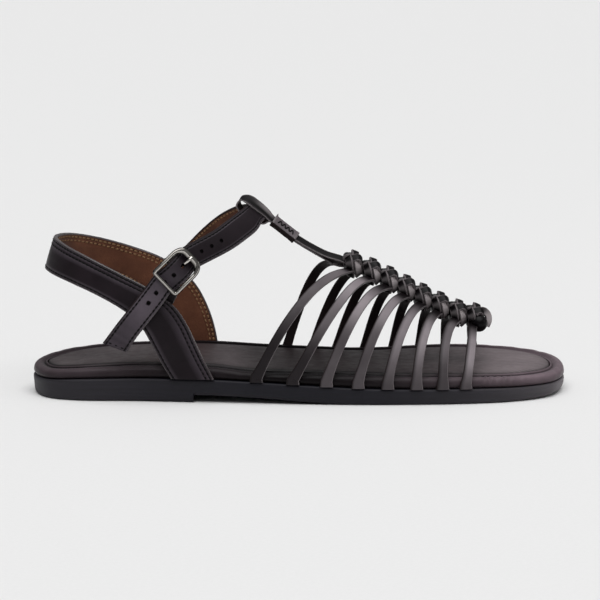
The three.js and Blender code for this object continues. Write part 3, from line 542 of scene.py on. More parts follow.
class Nodes:
    """The nodes of a new material or world: shader is the node that makes its surface or its light."""

    def __init__(self, owner, shader="Principled BSDF"):
        owner.use_nodes = True
        self.owner, self.tree = owner, owner.node_tree
        self.shader = self.tree.nodes[shader]
        self.place = self.node("ShaderNodeTexCoord").outputs

    def node(self, kind, **settings):
        made = self.tree.nodes.new(kind)
        for key, value in settings.items():
            setattr(made, key, value)
        return made

    def feed(self, socket, value):
        """Links an input to another node's output, or sets its value."""
        if isinstance(value, bpy.types.NodeSocket):
            self.tree.links.new(value, socket)
        else:
            socket.default_value = value

    def set(self, node, **inputs):
        """Feeds a node's inputs by name, with _ for a space."""
        for key, value in inputs.items():
            self.feed(node.inputs[key.replace("_", " ")], value)
        return node

    def noise(self, scale, detail, roughness=0.55, stretch=None):
        place = self.place["Object"]
        if stretch:
            place = self.set(self.node("ShaderNodeMapping"), Vector=place, Scale=stretch).outputs["Vector"]
        made = self.node("ShaderNodeTexNoise")
        self.set(made, Vector=place, Scale=scale, Detail=detail, Roughness=roughness)
        return made.outputs["Fac"]

    def cells(self, scale):
        made = self.set(self.node("ShaderNodeTexVoronoi"), Vector=self.place["Object"], Scale=scale)
        return made.outputs["Distance"]

    def ramp(self, value, low, high, to_low=0.0, to_high=1.0):
        made = self.node("ShaderNodeMapRange")
        self.set(made, Value=value, From_Min=low, From_Max=high, To_Min=to_low, To_Max=to_high)
        return made.outputs["Result"]

    def mix(self, factor, *tones):
        """A colour between two, each given by a socket or as sRGB values of 0 to 255."""
        made = self.set(self.node("ShaderNodeMix", data_type="RGBA"), Factor=factor)
        for index, tone in zip(MIX_COLOURS, tones):
            self.feed(made.inputs[index], colour(*tone) if isinstance(tone, tuple) else tone)
        return made.outputs[MIX_RESULT]

    def bump(self, height, distance, strength=1.0, normal=None):
        made = self.set(self.node("ShaderNodeBump"), Height=height, Distance=distance, Strength=strength)
        if normal is not None:
            self.set(made, Normal=normal)
        return made.outputs["Normal"]

    def attribute(self, name):
        return self.node("ShaderNodeAttribute", attribute_name=name).outputs["Fac"]


def colour(red, green, blue):
    """An sRGB colour of 0 to 255 as a linear one."""
    def linear(c):
        c /= 255
        return c / 12.92 if c <= 0.04045 else ((c + 0.055) / 1.055) ** 2.4
    return (linear(red), linear(green), linear(blue), 1.0)


def new_material(name):
    return Nodes(bpy.data.materials.new(name))


def leather(name, dark, light, edge=None, worn=None, roughness=0.42, grain=1500.0, relief=0.03, gloss=0.5):
    """Smooth finished leather: pore grain and uneven dye. Where given, a paler colour is painted light, a
    highlight or sheen;
    the edge colour is edge paint on the bands, painted shade in creases, grooves and on the straps' rear
    edges, and a painted highlight on the edges of knots and the T-bar.
    """
    n = new_material(name)
    dye = n.ramp(n.noise(scale=45.0, detail=4.0), 0.35, 0.68)
    base = n.mix(dye, dark, light)
    # Painted light: a paler colour where the points carry it.
    if worn:
        base = n.mix(n.attribute("worn"), base, n.mix(dye, *worn))
    # Edge colour: edge paint, painted shade and painted highlights, as the piece gives them.
    if edge:
        base = n.mix(n.attribute("edge"), base, edge)
    rough = n.ramp(n.noise(scale=220.0, detail=2.0), 0.3, 0.7, roughness - 0.06, roughness + 0.07)
    pores = n.bump(n.cells(grain), relief * METRES, strength=0.6)
    surface = n.bump(n.noise(scale=420.0, detail=3.0), 2.5 * relief * METRES, 0.35, pores)
    n.set(n.shader, Base_Color=base, Roughness=rough, Normal=surface, Specular_IOR_Level=gloss)
    return n.owner


def suede(name, dark, light, edge):
    """Lining with a raised nap, uneven in tone."""
    n = new_material(name)
    blotch = n.ramp(n.noise(scale=70.0, detail=5.0), 0.3, 0.7)
    nap = n.noise(scale=2600.0, detail=3.0, roughness=0.7)
    base = n.mix(n.ramp(nap, 0.25, 0.75), dark, n.mix(blotch, dark, light))
    base = n.mix(n.attribute("edge"), base, edge)
    n.set(n.shader, Base_Color=base, Roughness=0.9, Normal=n.bump(nap, 0.06 * METRES, strength=0.7))
    n.set(n.shader, Sheen_Weight=0.25, Sheen_Roughness=0.5, Specular_IOR_Level=0.2)
    return n.owner


def rubber(name, dark, light, worn):
    """Cast rubber with fine drawn lines, painted paler where painted light is given."""
    n = new_material(name)
    streak = n.noise(scale=90.0, detail=4.0, roughness=0.6, stretch=(0.25, 0.25, 9.0))
    dye = n.ramp(streak, 0.3, 0.7)
    # Painted light: paler chiefly towards the toe.
    base = n.mix(n.attribute("worn"), n.mix(dye, dark, light), n.mix(dye, *worn))
    fine = n.bump(n.noise(scale=1800.0, detail=2.0), 0.03 * METRES, strength=0.5)
    lines = n.bump(streak, 0.12 * METRES, 0.4, fine)
    rough = n.ramp(streak, 0.3, 0.7, 0.5, 0.64)
    n.set(n.shader, Base_Color=base, Roughness=rough, Normal=lines, Specular_IOR_Level=0.25)
    return n.owner


def metal(name, dark, light):
    """Plated metal: bright where painted light is given, as a painted highlight along the crest of the
    frame's wire, and dark elsewhere.
    """
    n = new_material(name)
    rough = n.ramp(n.noise(scale=500.0, detail=3.0), 0.3, 0.7, 0.06, 0.13)
    tone = n.mix(n.attribute("worn"), dark, light)
    haze = n.bump(n.noise(scale=900.0, detail=2.0), 0.01 * METRES, strength=0.3)
    n.set(n.shader, Base_Color=tone, Metallic=1.0, Roughness=rough, Normal=haze)
    return n.owner


def thread(name, dark, light, roughness):
    """Twisted thread."""
    n = new_material(name)
    ply = n.noise(scale=3000.0, detail=2.0)
    base = n.mix(n.ramp(ply, 0.3, 0.7), dark, light)
    n.set(n.shader, Base_Color=base, Roughness=roughness, Specular_IOR_Level=0.1)
    n.set(n.shader, Normal=n.bump(ply, 0.05 * METRES, strength=0.7))
    return n.owner


# Dark edge colour: edge paint at the bands' rims, and painted shade in the creases of the footbed and the
# insole, in the beds of grooves and on the straps' rear edges.
INK_AND_SHADE = (10, 8, 9)
# Straps: their lighter colours are a painted sheen where the light falls on them, and their rear edges are
# painted dark as shade.
STRAP_LEATHER = leather(
    "strap_leather", (13, 9, 11), (19, 14, 16), INK_AND_SHADE, ((132, 124, 128), (154, 146, 150)), 0.45, gloss=0.1)
# Knots: the light edge colour is a painted highlight along the strips' edges, and the lighter colours are
# painted highlights on their front faces.
KNOT_LEATHER = leather(
    "knot_leather", (7, 5, 7), (12, 9, 11), (112, 104, 106), ((140, 133, 135), (172, 164, 165)), 0.3,
    gloss=0.12)
# Heel and ankle straps: the lighter colours are painted highlights on the lips of the grooves and on the
# tail.
BAND_LEATHER = leather(
    "band_leather", (22, 16, 20), (31, 24, 29), INK_AND_SHADE, ((74, 67, 74), (90, 82, 90)), 0.42, gloss=0.15)
# T-bar: the light edge colour is a painted highlight along its edges, and the lighter colours a painted
# highlight on the loop.
T_BAR_LEATHER = leather(
    "t_bar_leather", (8, 6, 7), (14, 11, 13), (96, 90, 92), ((124, 118, 120), (152, 146, 148)), 0.5,
    gloss=0.14)
BACK_LEATHER = leather("back_leather", (22, 14, 15), (34, 24, 24), roughness=0.6, gloss=0.2)
# Edge paint, made lighter as a painted highlight where light catches the edges.
EDGE_PAINT_AND_SHEEN = leather("edge_paint_and_sheen", (58, 52, 54), (80, 73, 75), roughness=0.26, grain=900.0, gloss=0.55)
# Near black, painted shade: the walls of cuts, and the floors of the pits that stand in for through holes.
HOLE_SHADE = leather("hole_shade", (6, 4, 5), (11, 9, 10), roughness=0.7, gloss=0.1)
# Cut edges, lightened in part as a painted highlight where light catches them.
CUT_EDGE_AND_SHEEN = leather("cut_edge_and_sheen", (88, 82, 84), (110, 103, 105), roughness=0.36, grain=900.0)
# Footbed and insole: their lighter colours are painted light, strongest at the toe and the heel, and their
# dark edge colour is painted shade in the creases and on the insole's rolled edge.
BED_LEATHER = leather(
    "bed_leather", (9, 6, 7), (14, 10, 12), INK_AND_SHADE, ((102, 89, 95), (122, 107, 114)), 0.38,
    grain=1100.0, relief=0.05, gloss=0.1)
INSOLE_LEATHER = leather(
    "insole_leather", (25, 17, 19), (34, 25, 27), INK_AND_SHADE, ((108, 98, 101), (124, 113, 116)), 0.46,
    grain=1300.0, gloss=0.22)
# Lining: its edge colour darkens its rims, and is painted shade in the beds of its grooves.
LINING = suede("lining_suede", (80, 46, 30), (134, 84, 60), (44, 24, 16))
# Outsole: its lighter colours are painted light, chiefly at the toe.
OUTSOLE_RUBBER = rubber("outsole_rubber", (15, 14, 21), (23, 22, 31), ((104, 99, 103), (124, 118, 122)))
# Buckle: its bright tone is a painted highlight along the frame's crest; the bar, lugs and pin are bright all
# over.
BUCKLE_METAL = metal("buckle_metal", (48, 45, 44), (206, 202, 196))
KEEPER_LEATHER = leather("keeper_leather", (74, 67, 71), (94, 86, 90), roughness=0.4, gloss=0.5)
DARK_THREAD = thread("dark_thread", (4, 3, 4), (12, 10, 11), 0.38)
TAN_THREAD = thread("tan_thread", (112, 82, 56), (164, 130, 98), 0.6)


# Sole

# Steps along the outline from heel to toe.
RUNGS = 480


def outline_edges():
    """The outline as a lateral and a medial edge from heel to toe."""
    loop = through(columns(OUTLINE, "along across") * [LENGTH, BALL_WIDTH], per_segment=40, closed=True)
    low, high = loop.min(0), loop.max(0)
    loop = (loop - (low + high) / 2) * [LENGTH, BALL_WIDTH] / (high - low)
    loop = np.roll(loop, -int(loop[:, 0].argmin()), axis=0)
    toe = int(loop[:, 0].argmax())
    return {"lateral": loop[: toe + 1], "medial": np.vstack([loop[toe:], loop[:1]])[::-1]}


EDGES = outline_edges()


def edge_y(side, x):
    edge = EDGES[side]
    return np.interp(x, np.maximum.accumulate(edge[:, 0]), edge[:, 1])


def floor_z(x):
    return np.where(x < BREAST_X, 0.0, smooth(PROFILE, "floor", x))


def seat_z(x):
    return smooth(PROFILE, "seat", x)


def across_foot(lateral, medial, y):
    """Value that goes from a lateral to a medial one across the foot."""
    return lateral + (medial - lateral) * step_between(TILT["from"], TILT["to"], y)


def crest_z(x, y):
    return across_foot(smooth(PROFILE, "lateral", x), smooth(PROFILE, "medial", x), y)


def insole_z(x, y):
    return crest_z(x, y) + across_foot(INSOLE_LIFT["lateral"], INSOLE_LIFT["medial"], y)


def rim_points():
    """Points of the outline in plan, round from the heel by the lateral side, close together at its ends."""
    even = -HALF * np.cos(np.pi * np.arange(RUNGS + 1) / RUNGS)
    breast = [BREAST_X - BREAST["half"], BREAST_X + BREAST["half"]]
    x = np.sort(np.concatenate([even[np.abs(even - BREAST_X) > BREAST["clear"]], breast]))
    lateral = np.stack([x[:-1], edge_y("lateral", x[:-1])], axis=-1)
    medial = np.stack([x[:0:-1], edge_y("medial", x[:0:-1])], axis=-1)
    return np.vstack([lateral, medial])


RIM = rim_points()
RIM_ALONG = unit(np.roll(RIM, -1, axis=0) - np.roll(RIM, 1, axis=0))
RIM_INWARD = np.stack([-RIM_ALONG[:, 1], RIM_ALONG[:, 0]], axis=-1)


def ring(inset, height):
    """The outline moved in by inset, at the height that its place in plan gives."""
    moved = RIM + RIM_INWARD * np.reshape(inset, (-1, 1))
    return np.column_stack([moved, height(RIM[:, 0], moved[:, 1])])


# Painted light along the foot: how far the sole's surfaces are painted paler, most at the toe and the heel,
# and least in the middle under the upper, where shade falls.
SOLE_PAINTED_LIGHT = table(
    "x cover insole rubber",
    (-128, 0.27, 0.3, 0.09),
    (-100, 0.25, 0.24, 0.08),
    (-60, 0.1, 0.22, 0.025),
    (-34, 0.06, 0.26, 0.01),
    (-20, 0.03, 0.02, 0),
    (0, 0, 0, 0),
    (30, 0.05, 0.06, 0.01),
    (72, 0.36, 0.4, 0.08),
    (100, 0.8, 0.9, 0.2),
    (118, 0.92, 0.98, 0.42),
    (128, 0.96, 1, 1),
)
# Share of the painted shade in the dark lines that is left where the painted light is strongest.
SHADE_LEFT = 0.55


def ring_loft(name, rings, material, light_paint, dark, rubbed):
    """A piece through rings round the outline: each ring's share of dark colour, painted shade, and of the
    painted light.
    """
    count = len(RIM)
    faces = grid_faces(len(rings), count)
    faces += ladder_faces(0, count, False)
    faces += ladder_faces((len(rings) - 1) * count, count, True)
    points = np.vstack(rings)
    worn = smooth(SOLE_PAINTED_LIGHT, light_paint, points[:, 0])
    # Painted shade in the creases, weakened where painted light is strongest.
    edge = np.repeat(dark, count) * (1 - (1 - SHADE_LEFT) * worn)
    worn = np.clip(worn * np.repeat(rubbed, count), 0, 1)
    return mesh_object(name, points, faces, [material], attributes={"worn": worn, "edge": edge}, sharp=40)


# Side of the outsole from the floor up: inset from the outline, and the rise from the floor or the seat.
OUTSOLE_SIDE = table(
    "inset from rise",
    (3.2, floor_z, 0),
    (2.2, floor_z, 0),
    (1.6, floor_z, 0.12),
    (1.1, floor_z, 0.42),
    (0.75, floor_z, 0.9),
    (0.5, floor_z, 1.6),
    (0.15, seat_z, -3),
    (0, seat_z, -1.2),
    (0.03, seat_z, -0.7),
    (0.2, seat_z, -0.3),
    (0.55, seat_z, -0.06),
    (1.1, seat_z, 0),
    (2.5, seat_z, 0),
)


def make_outsole():
    rings = [
        ring(row["inset"], lambda x, y, row=row: row["from"](x) + row["rise"])
        for row in OUTSOLE_SIDE
    ]
    count = len(rings)
    piece = ring_loft("outsole_dressed", rings, OUTSOLE_RUBBER, "rubber", np.zeros(count), np.ones(count))
    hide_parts("outsole")
    return piece


# Rolled rim of the footbed: inset from its own side, share of the height from the outsole to the crest,
# and share of the painted light, a painted highlight strongest on the roll's upper side.
ROLL = table(
    "inset share rubbed",
    (1.7, 0.0, 0.45),
    (0.5, 0.09, 0.5),
    (0.0, 0.34, 0.62),
    (0.25, 0.66, 0.85),
    (1.1, 0.91, 1.15),
    (2.5, 1.04, 1.15),
    (3.9, 1.0, 0.9),
)
# Crease inside the rim, and the piping round the insole: inset from the outsole's side, depth below the
# insole's edge, and share of dark colour, painted shade in the creases.
PIPING = table(
    "inset down dark",
    (5.1, 1.1, 0.4),
    (5.35, 1.25, 1),
    (5.6, 1.2, 1),
    (5.78, 0.95, 1),
    (5.88, 0.75, 1),
    (5.94, 0.6, 0),
    (6.06, 0.32, 0),
    (6.3, 0.14, 0),
    (6.6, 0.26, 0),
    (6.8, 0.7, 0.8),
    (6.95, 1.3, 1),
    (7.2, 2.3, 1),
)

# Puckers where the cover is drawn round the rim: place along the side, half width and depth.
PUCKERS = table(
    "side x width depth",
    ("lateral", -121, 3.4, 0.16),
    ("lateral", -104, 3.0, 0.12),
    ("lateral", -86, 2.2, 0.1),
    ("lateral", -28, 1.8, 0.16),
    ("lateral", -8, 2.0, 0.12),
    ("lateral", 86.5, 0.8, 0.4),
    ("lateral", 89, 0.7, 0.45),
    ("lateral", 92.5, 0.8, 0.36),
    ("lateral", 95.5, 0.7, 0.42),
    ("lateral", 99, 0.9, 0.3),
    ("lateral", 104, 1.2, 0.24),
    ("lateral", 112, 2.0, 0.14),
    ("lateral", 118.5, 2.2, 0.16),
    ("lateral", 123, 2.4, 0.14),
    ("medial", 121, 2.6, 0.16),
    ("medial", 112, 2.8, 0.14),
    ("medial", 98, 3.0, 0.12),
    ("medial", -108, 3.2, 0.14),
    ("medial", -120, 3.0, 0.16),
)
# Short wrinkles at the edge of the insole.
INSOLE_WRINKLES = table(
    "side x width depth",
    ("lateral", 101, 0.8, 0.16),
    ("lateral", 104.5, 0.7, 0.2),
    ("lateral", 108, 0.7, 0.22),
    ("lateral", 111, 0.7, 0.22),
    ("lateral", 114, 0.8, 0.2),
    ("lateral", 117, 0.9, 0.16),
)
# How far a pucker shows at a share of the rim's height, and how far it goes in for its depth.
PUCKER_SHARES = table("x drawn", (0, 0), (0.3, 0.25), (0.85, 1), (1, 0.9))
PUCKER_INWARD = 0.6
# How far a wrinkle shows at a distance from the insole's edge.
WRINKLE_SHARES = table("x drawn", (0, 0), (0.3, 1), (2.5, 0.6), (5, 0))
# Distance from a trough to the ridge beside it, in widths of the trough.
FOLD_RIDGE = {"sole": 1.6, "tail": 1.7}


def shown(shares, x):
    return np.interp(x, column(shares, "x"), column(shares, "drawn"))


def folds(rows):
    """Depth at each point of the outline: soft troughs, each with a ridge beside it."""
    along = lengths(np.vstack([RIM, RIM[:1]]))
    total = along[-1]
    depth = np.zeros(len(RIM))
    for row in rows:
        at = np.array([row["x"], edge_y(row["side"], row["x"])])
        place = along[np.linalg.norm(RIM - at, axis=1).argmin()]
        away = (along[:-1] - place + total / 2) % total - total / 2
        depth += row["depth"] * fold(away / row["width"], FOLD_RIDGE["sole"])
    return depth


def make_footbed():
    pucker = folds(PUCKERS)
    side = smooth(PROFILE, "inset", RIM[:, 0])

    def rolled(inset, share):
        drawn = pucker * shown(PUCKER_SHARES, share)

        def height(x, y):
            base = seat_z(x) + GAP
            return base + (crest_z(x, y) - base) * share - drawn

        return ring(side + inset + PUCKER_INWARD * drawn, height)

    profile = through(columns(ROLL, "inset share rubbed"), per_segment=4)
    rings = [rolled(inset, share) for inset, share, _ in profile]
    rings += [ring(row["inset"], lambda x, y, row=row: insole_z(x, y) - row["down"]) for row in PIPING]
    # Painted shade in the creases of the piping, and painted light on the roll as its share gives.
    dark = np.concatenate([np.zeros(len(profile)), column(PIPING, "dark")])
    rubbed = np.concatenate([profile[:, 2], np.ones(len(PIPING))])
    piece = ring_loft("footbed_dressed", rings, BED_LEATHER, "cover", dark, rubbed)
    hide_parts("footbed")
    return piece


# Insole from its underside to its padded middle: inset from its edge, rise above that edge, and share of
# dark colour, painted shade where its edge rolls down.
INSOLE_EDGE = table(
    "inset rise dark",
    (0, -2.1, 1),
    (0, -1.0, 1),
    (0.1, -0.5, 1),
    (0.3, -0.16, 1),
    (0.7, 0.04, 0.85),
    (1.1, 0.12, 0.55),
    (1.8, 0.2, 0.4),
    (3, 0.3, 0.22),
    (5, 0.4, 0.06),
    (9, 0.48, 0),
    (14, 0.5, 0),
)
# How far the dressed insole spreads past its solid, to meet the piping.
INSOLE_SPREAD = 0.15


def make_insole():
    wrinkle = folds(INSOLE_WRINKLES)

    def dished(row):
        lift = row["rise"] - wrinkle * shown(WRINKLE_SHARES, row["inset"])
        return ring(INSOLE_INSET - INSOLE_SPREAD + row["inset"], lambda x, y: insole_z(x, y) + lift)

    rings = [dished(row) for row in INSOLE_EDGE]
    dark = column(INSOLE_EDGE, "dark")
    piece = ring_loft("insole_dressed", rings, INSOLE_LEATHER, "insole", dark, np.ones(len(rings)))
    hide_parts("insole")
    return piece


# Upper: thin straps on the last, knotted along the ridge of the instep

# The last: power of its rounded section, and height of its lower edge as a share of the rim's.
LAST_FULLNESS = 2.1
FEATHER_SHARE = 0.55
STRAP_STEPS = 44


def ridge_z(x):
    return smooth(RIDGE, "z", x)


def feather_z(side, x):
    return seat_z(x) + (smooth(PROFILE, side, x) - seat_z(x)) * FEATHER_SHARE


def reach(side, x, thickness):
    """Distance from the ridge to the middle of a strap outside the footbed."""
    edge = edge_y(side, x)
    return edge + np.sign(edge) * (2 * GAP - BED_INSET + thickness / 2) - RIDGE_Y


def last_point(side, x, turn):
    power = 2 / LAST_FULLNESS
    c, s = np.maximum(0, np.cos(turn)), np.maximum(0, np.sin(turn))
    y = RIDGE_Y + reach(side, x, STRAP["thickness"]) * c**power
    z = feather_z(side, x) + (ridge_z(x) - feather_z(side, x)) * s**power
    return np.stack([x, y, z], axis=-1)


def on_last(side, x, turn):
    """Points on the last at a turn up from its edge, and their normals to the outside."""
    ahead, step = 1.0, 0.02
    along = last_point(side, x + ahead, turn) - last_point(side, x - ahead, turn)
    round_it = last_point(side, x, turn + step) - last_point(side, x, turn - step)
    normal = unit(np.cross(along, round_it))
    return last_point(side, x, turn), normal if side == "lateral" else -normal


# Painted sheen on the straps, from the ankle to the toe: how light they are painted at the foot, where the
# lighter part begins, where it is lightest and how light, where it ends and where the strap is dark under the
# knot as painted shade, as shares of the length, and the width of the rear edge that is painted dark as
# shade.
STRAP_PAINTED_LIGHT = table(
    "foot begin top pale end dark rear",
    (0.05, 0.2, 0.75, 0.46, 0.84, 0.91, 0.7),
    (0.06, 0.15, 0.76, 0.88, 0.77, 0.88, 0.7),
    (0.26, 0.3, 0.55, 0.95, 0.6, 0.84, 0.7),
    (0.26, 0.34, 0.58, 0.82, 0.66, 0.83, 0.8),
    (0.24, 0, 0.45, 0.77, 0.54, 0.84, 1.3),
    (0.24, 0, 0.42, 0.79, 0.47, 0.8, 1.5),
    (0.2, 0.15, 0.38, 0.44, 0.6, 0.86, 1.6),
    (0.24, 0, 0.26, 0.88, 0.4, 0.86, 1.6),
)


# Painted sheen along a strap, cut back under the knot, where it is dark as painted shade.
def strap_painted_light(row, share):
    rise = row["foot"] + (row["pale"] - row["foot"]) * step_between(row["begin"], row["top"], share)
    return rise * (1 - step_between(row["end"], row["dark"], share))


def strap_path(side, foot, top, lean):
    """Points and normals of a strap, straight up from the outsole and over the last."""
    t = np.linspace(0, 1, STRAP_STEPS + 1)
    points, normals = on_last(side, foot + (top - foot) * t**lean, t * math.pi / 2)
    rows = STRAP_STAND["rows"]
    stand = np.repeat(points[:1], rows, axis=0)
    stand[:, 2] = np.linspace(seat_z(foot) + STRAP_STAND["above_seat"], points[0, 2], rows, endpoint=False)
    return np.vstack([stand, points]), np.vstack([np.repeat(normals[:1], rows, axis=0), normals])


def make_straps():
    parts = Parts()
    for row, light_paint in zip(STRAPS, STRAP_PAINTED_LIGHT):
        for side, front, lean in (("lateral", 1, row["lateral_lean"]), ("medial", -1, MEDIAL_LEAN)):
            points, normals = strap_path(side, row[side], row[f"{side}_top"], lean)
            across, normals = path_frames(points, normals)
            share = lengths(points) / lengths(points)[-1]
            flare = (STRAP["flare"] - 1) * np.clip(1 - share / STRAP["flare_end"], 0, 1) ** 2
            half = STRAP["width"] / 2 * (1 + flare)
            # The rear edge is a shaded copy in the back leather, painted dark as shade; the front edge takes
            # the cut edge's colour, lightened in part as a painted highlight.
            section = strip_section(STRAP["thickness"], STRAP["corner"], STRAP["dome"], dark_side=-front)
            shape, faces, zones, _ = strip_mesh(points, across, normals, half, section)
            # Painted shade along the rear side of the strap's face.
            from_rear = front * sideways(section, half) + half[:, None]
            edge = np.clip(1 - from_rear / light_paint["rear"], 0, 1).ravel()
            parts.add(shape, faces, zones, edge, np.repeat(strap_painted_light(light_paint, share), len(section)))
    piece = parts.piece("vamp_straps", [STRAP_LEATHER, CUT_EDGE_AND_SHEEN, BACK_LEATHER, BACK_LEATHER])
    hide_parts("upper")
    return piece


def turned(axis, about, degrees):
    """An axis turned about a unit vector."""
    angle = math.radians(degrees)
    level = np.cross(about, axis) * math.sin(angle)
    return axis * math.cos(angle) + level + about * (about @ axis) * (1 - math.cos(angle))


def ridge_frame(x, share):
    """Axes along, across and up on the ridge, sloped by a share of its slope, and the place."""
    step = 2.0
    along = unit(np.array([2 * step, 0, share * float(ridge_z(x + step) - ridge_z(x - step))]))
    across = np.array([0.0, 1.0, 0.0])
    return along, across, np.cross(along, across), np.array([x, RIDGE_Y, float(ridge_z(x))])


def knot_frame(x):
    """Rows are the knot's axes: its lateral end lies lower and further forward than its medial end."""
    along, across, up, origin = ridge_frame(x, KNOT_TURN["slope"])
    along, across = (turned(axis, up, KNOT_TURN["yaw"]) for axis in (along, across))
    across, up = (turned(axis, along, KNOT_TURN["roll"]) for axis in (across, up))
    return np.stack([along, across, up]), origin + ridge_frame(x, 1.0)[2] * KNOT["lift"]


# Steps of a strip over a knot, and how far it goes on below the knot's middle at either end.
STRIP_STEPS = 40
STRIP_WRAP = math.radians(40)
# Power that flattens a knot's round form to one with corners.
KNOT_SQUARE = 0.66
# Painted highlight on the strips across a knot, the rear one and then the front one: the degrees of turn over
# which it begins and ends, and how much lighter it makes the strip.
KNOT_HIGHLIGHT = table(
    "begin end pale",
    ((118, 136), (138, 165), 0.25),
    ((100, 128), (160, 220), 1),
)
# How much smaller than the knot its core is, along, across and up.
KNOT_CORE_INSET = (0.2, 0.4, 0.4)


def squared(wave):
    """A sine or cosine with flatter sides, for a knot with corners."""
    return np.sign(wave) * np.abs(wave) ** KNOT_SQUARE


def knot_strip(along_x, offset, over):
    """Stations of one strip over a knot, which goes over one crossing strip and under the other, and the
    share of painted highlight at each station on the knot's front face."""
    run, side = (KNOT["length"], KNOT["width"]) if along_x else (KNOT["width"], KNOT["length"])
    turn = np.linspace(-STRIP_WRAP, math.pi + STRIP_WRAP, STRIP_STEPS + 1)
    narrow = math.sqrt(1 - (offset / side) ** 2)
    swell = 1 - over * KNOT["raise"] * np.sin(2 * np.clip(turn, 0, math.pi))
    u = run * narrow * swell * squared(np.cos(turn))
    z = KNOT["height"] * narrow * swell * squared(np.sin(turn))
    points = np.stack([u, np.full_like(turn, offset), z], axis=-1)
    normals = unit(points / np.array([run, side, KNOT["height"]]) ** 2)
    if along_x:
        return points, normals, np.zeros_like(turn)
    row = KNOT_HIGHLIGHT[int(offset > 0)]
    begin, end = np.radians(row["begin"]), np.radians(row["end"])
    pale = row["pale"] * step_between(*begin, turn) * (1 - step_between(*end, turn))
    return points[:, [1, 0, 2]], normals[:, [1, 0, 2]], pale


def ball(sides=16, rings=10):
    """Points and faces of a unit ball."""
    tilt = np.linspace(-math.pi / 2, math.pi / 2, rings + 2)[1:-1]
    tilt, turn = (grid.ravel() for grid in np.meshgrid(tilt, full_turn(sides), indexing="ij"))
    points = np.stack([np.cos(tilt) * np.cos(turn), np.cos(tilt) * np.sin(turn), np.sin(tilt)], axis=-1)
    return points, tube_faces(rings, sides)


# The last knot ends in a bulb on its lateral side, and a loop of the strip at its front, painted lighter
# along the loop as a highlight.
LAST_SHIFT = np.array([-1.0, 1.0, 1.2])
LAST_BULB = {"at": (86.0, -5.6, 32.2), "size": (4.2, 3.9, 4.2)}
LAST_LOOP = table(
    "at pale",
    ((86.0, -3.4, 38.2), 0.0),
    ((88.6, -3.6, 37.9), 0.1),
    ((90.4, -4.0, 36.0), 0.8),
    ((90.7, -4.4, 33.4), 1.0),
    ((89.6, -4.8, 30.6), 0.6),
)
LAST_LOOP_FACE = (0.5, -0.85, 0.1)
LAST_LOOP_WIDTH = 3.4


def make_knots():
    parts = Parts()
    section = strip_section(STRAP["thickness"], KNOT_STRIP["corner"], KNOT_STRIP["dome"])
    apart = KNOT["strip"] * KNOT_STRIP["apart"]

    def add_strip(points, normals, width, pale):
        across, normals = path_frames(points, normals)
        half = np.full(len(points), width / 2)
        shape = strip_mesh(points, across, normals, half, section, rim=KNOT_STRIP["rim"])
        parts.add(*shape, np.repeat(pale, len(section)))

    bulb, bulb_faces = ball()
    core = bulb * np.subtract([KNOT[name] for name in ("length", "width", "height")], KNOT_CORE_INSET)
    for row in STRAPS:
        axes, middle = knot_frame(row["knot"])
        if row is STRAPS[-1]:
            middle = middle + LAST_SHIFT
        parts.add(middle + core @ axes, bulb_faces, [INNER] * len(bulb_faces))
        for s in (-1, 1):
            for along_x, over in ((True, s), (False, -s)):
                points, normals, pale = knot_strip(along_x, s * apart, over)
                add_strip(middle + points @ axes, normals @ axes, KNOT["strip"], pale)
    parts.add(bulb * LAST_BULB["size"] + LAST_BULB["at"], bulb_faces)
    loop = through(column(LAST_LOOP, "at"), per_segment=8)
    pale = through(columns(LAST_LOOP, "pale"), per_segment=8)[:, 0]
    add_strip(loop, np.tile(LAST_LOOP_FACE, (len(loop), 1)), LAST_LOOP_WIDTH, pale)
    piece = parts.piece("instep_knots", [KNOT_LEATHER, CUT_EDGE_AND_SHEEN, BACK_LEATHER])
    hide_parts("upper")
    return piece


def keeper_axes():
    """Axes along, across and up, and the middle of the keeper."""
    slope = math.radians(KEEPER["slope"])
    along = np.array([math.cos(slope), 0, math.sin(slope)])
    across = turned(np.array([0.0, 1.0, 0.0]), along, KEEPER["roll"])
    return along, across, np.cross(along, across), np.array([KEEPER["x"], RIDGE_Y, KEEPER["z"]])


# The doubled strip outside the keeper: the two lanes to the knot, which part on their way, and the
# loop's bend.
LANES_TO_KNOT = table(
    "x z above below",
    (5.2, 68.5, 0.55, 0.55),
    (12, 64.9, 0.8, 1),
    (19, 62.4, 1.2, 2.6),
)
LOOP = table(
    "x z",
    (-15.9, 85.6),
    (-20, 89.4),
    (-24.4, 92.2),
    (-27.8, 92),
    (-29.4, 89.3),
    (-27.8, 86.2),
    (-23, 83),
    (-17.6, 81),
)

LOOP_MIDDLE = np.array([-22.0, RIDGE_Y, 86.0])
T_BAR_STEPS = 10
# The front of the loop is doubled: places along the strip, in points of its path, where the second layer
# adds to the width, and where the outer layer is painted lighter as a highlight. The inner layer stays dark:
# across the strip, the painted highlight begins at a distance from the middle.
LOOP_DOUBLED = {"at": 8.3, "width": 2.1, "extra": 2.4}
LOOP_HIGHLIGHT = {"at": 7.0, "width": 1.1, "pale": 0.8, "begin": 0.2, "over": 0.6}


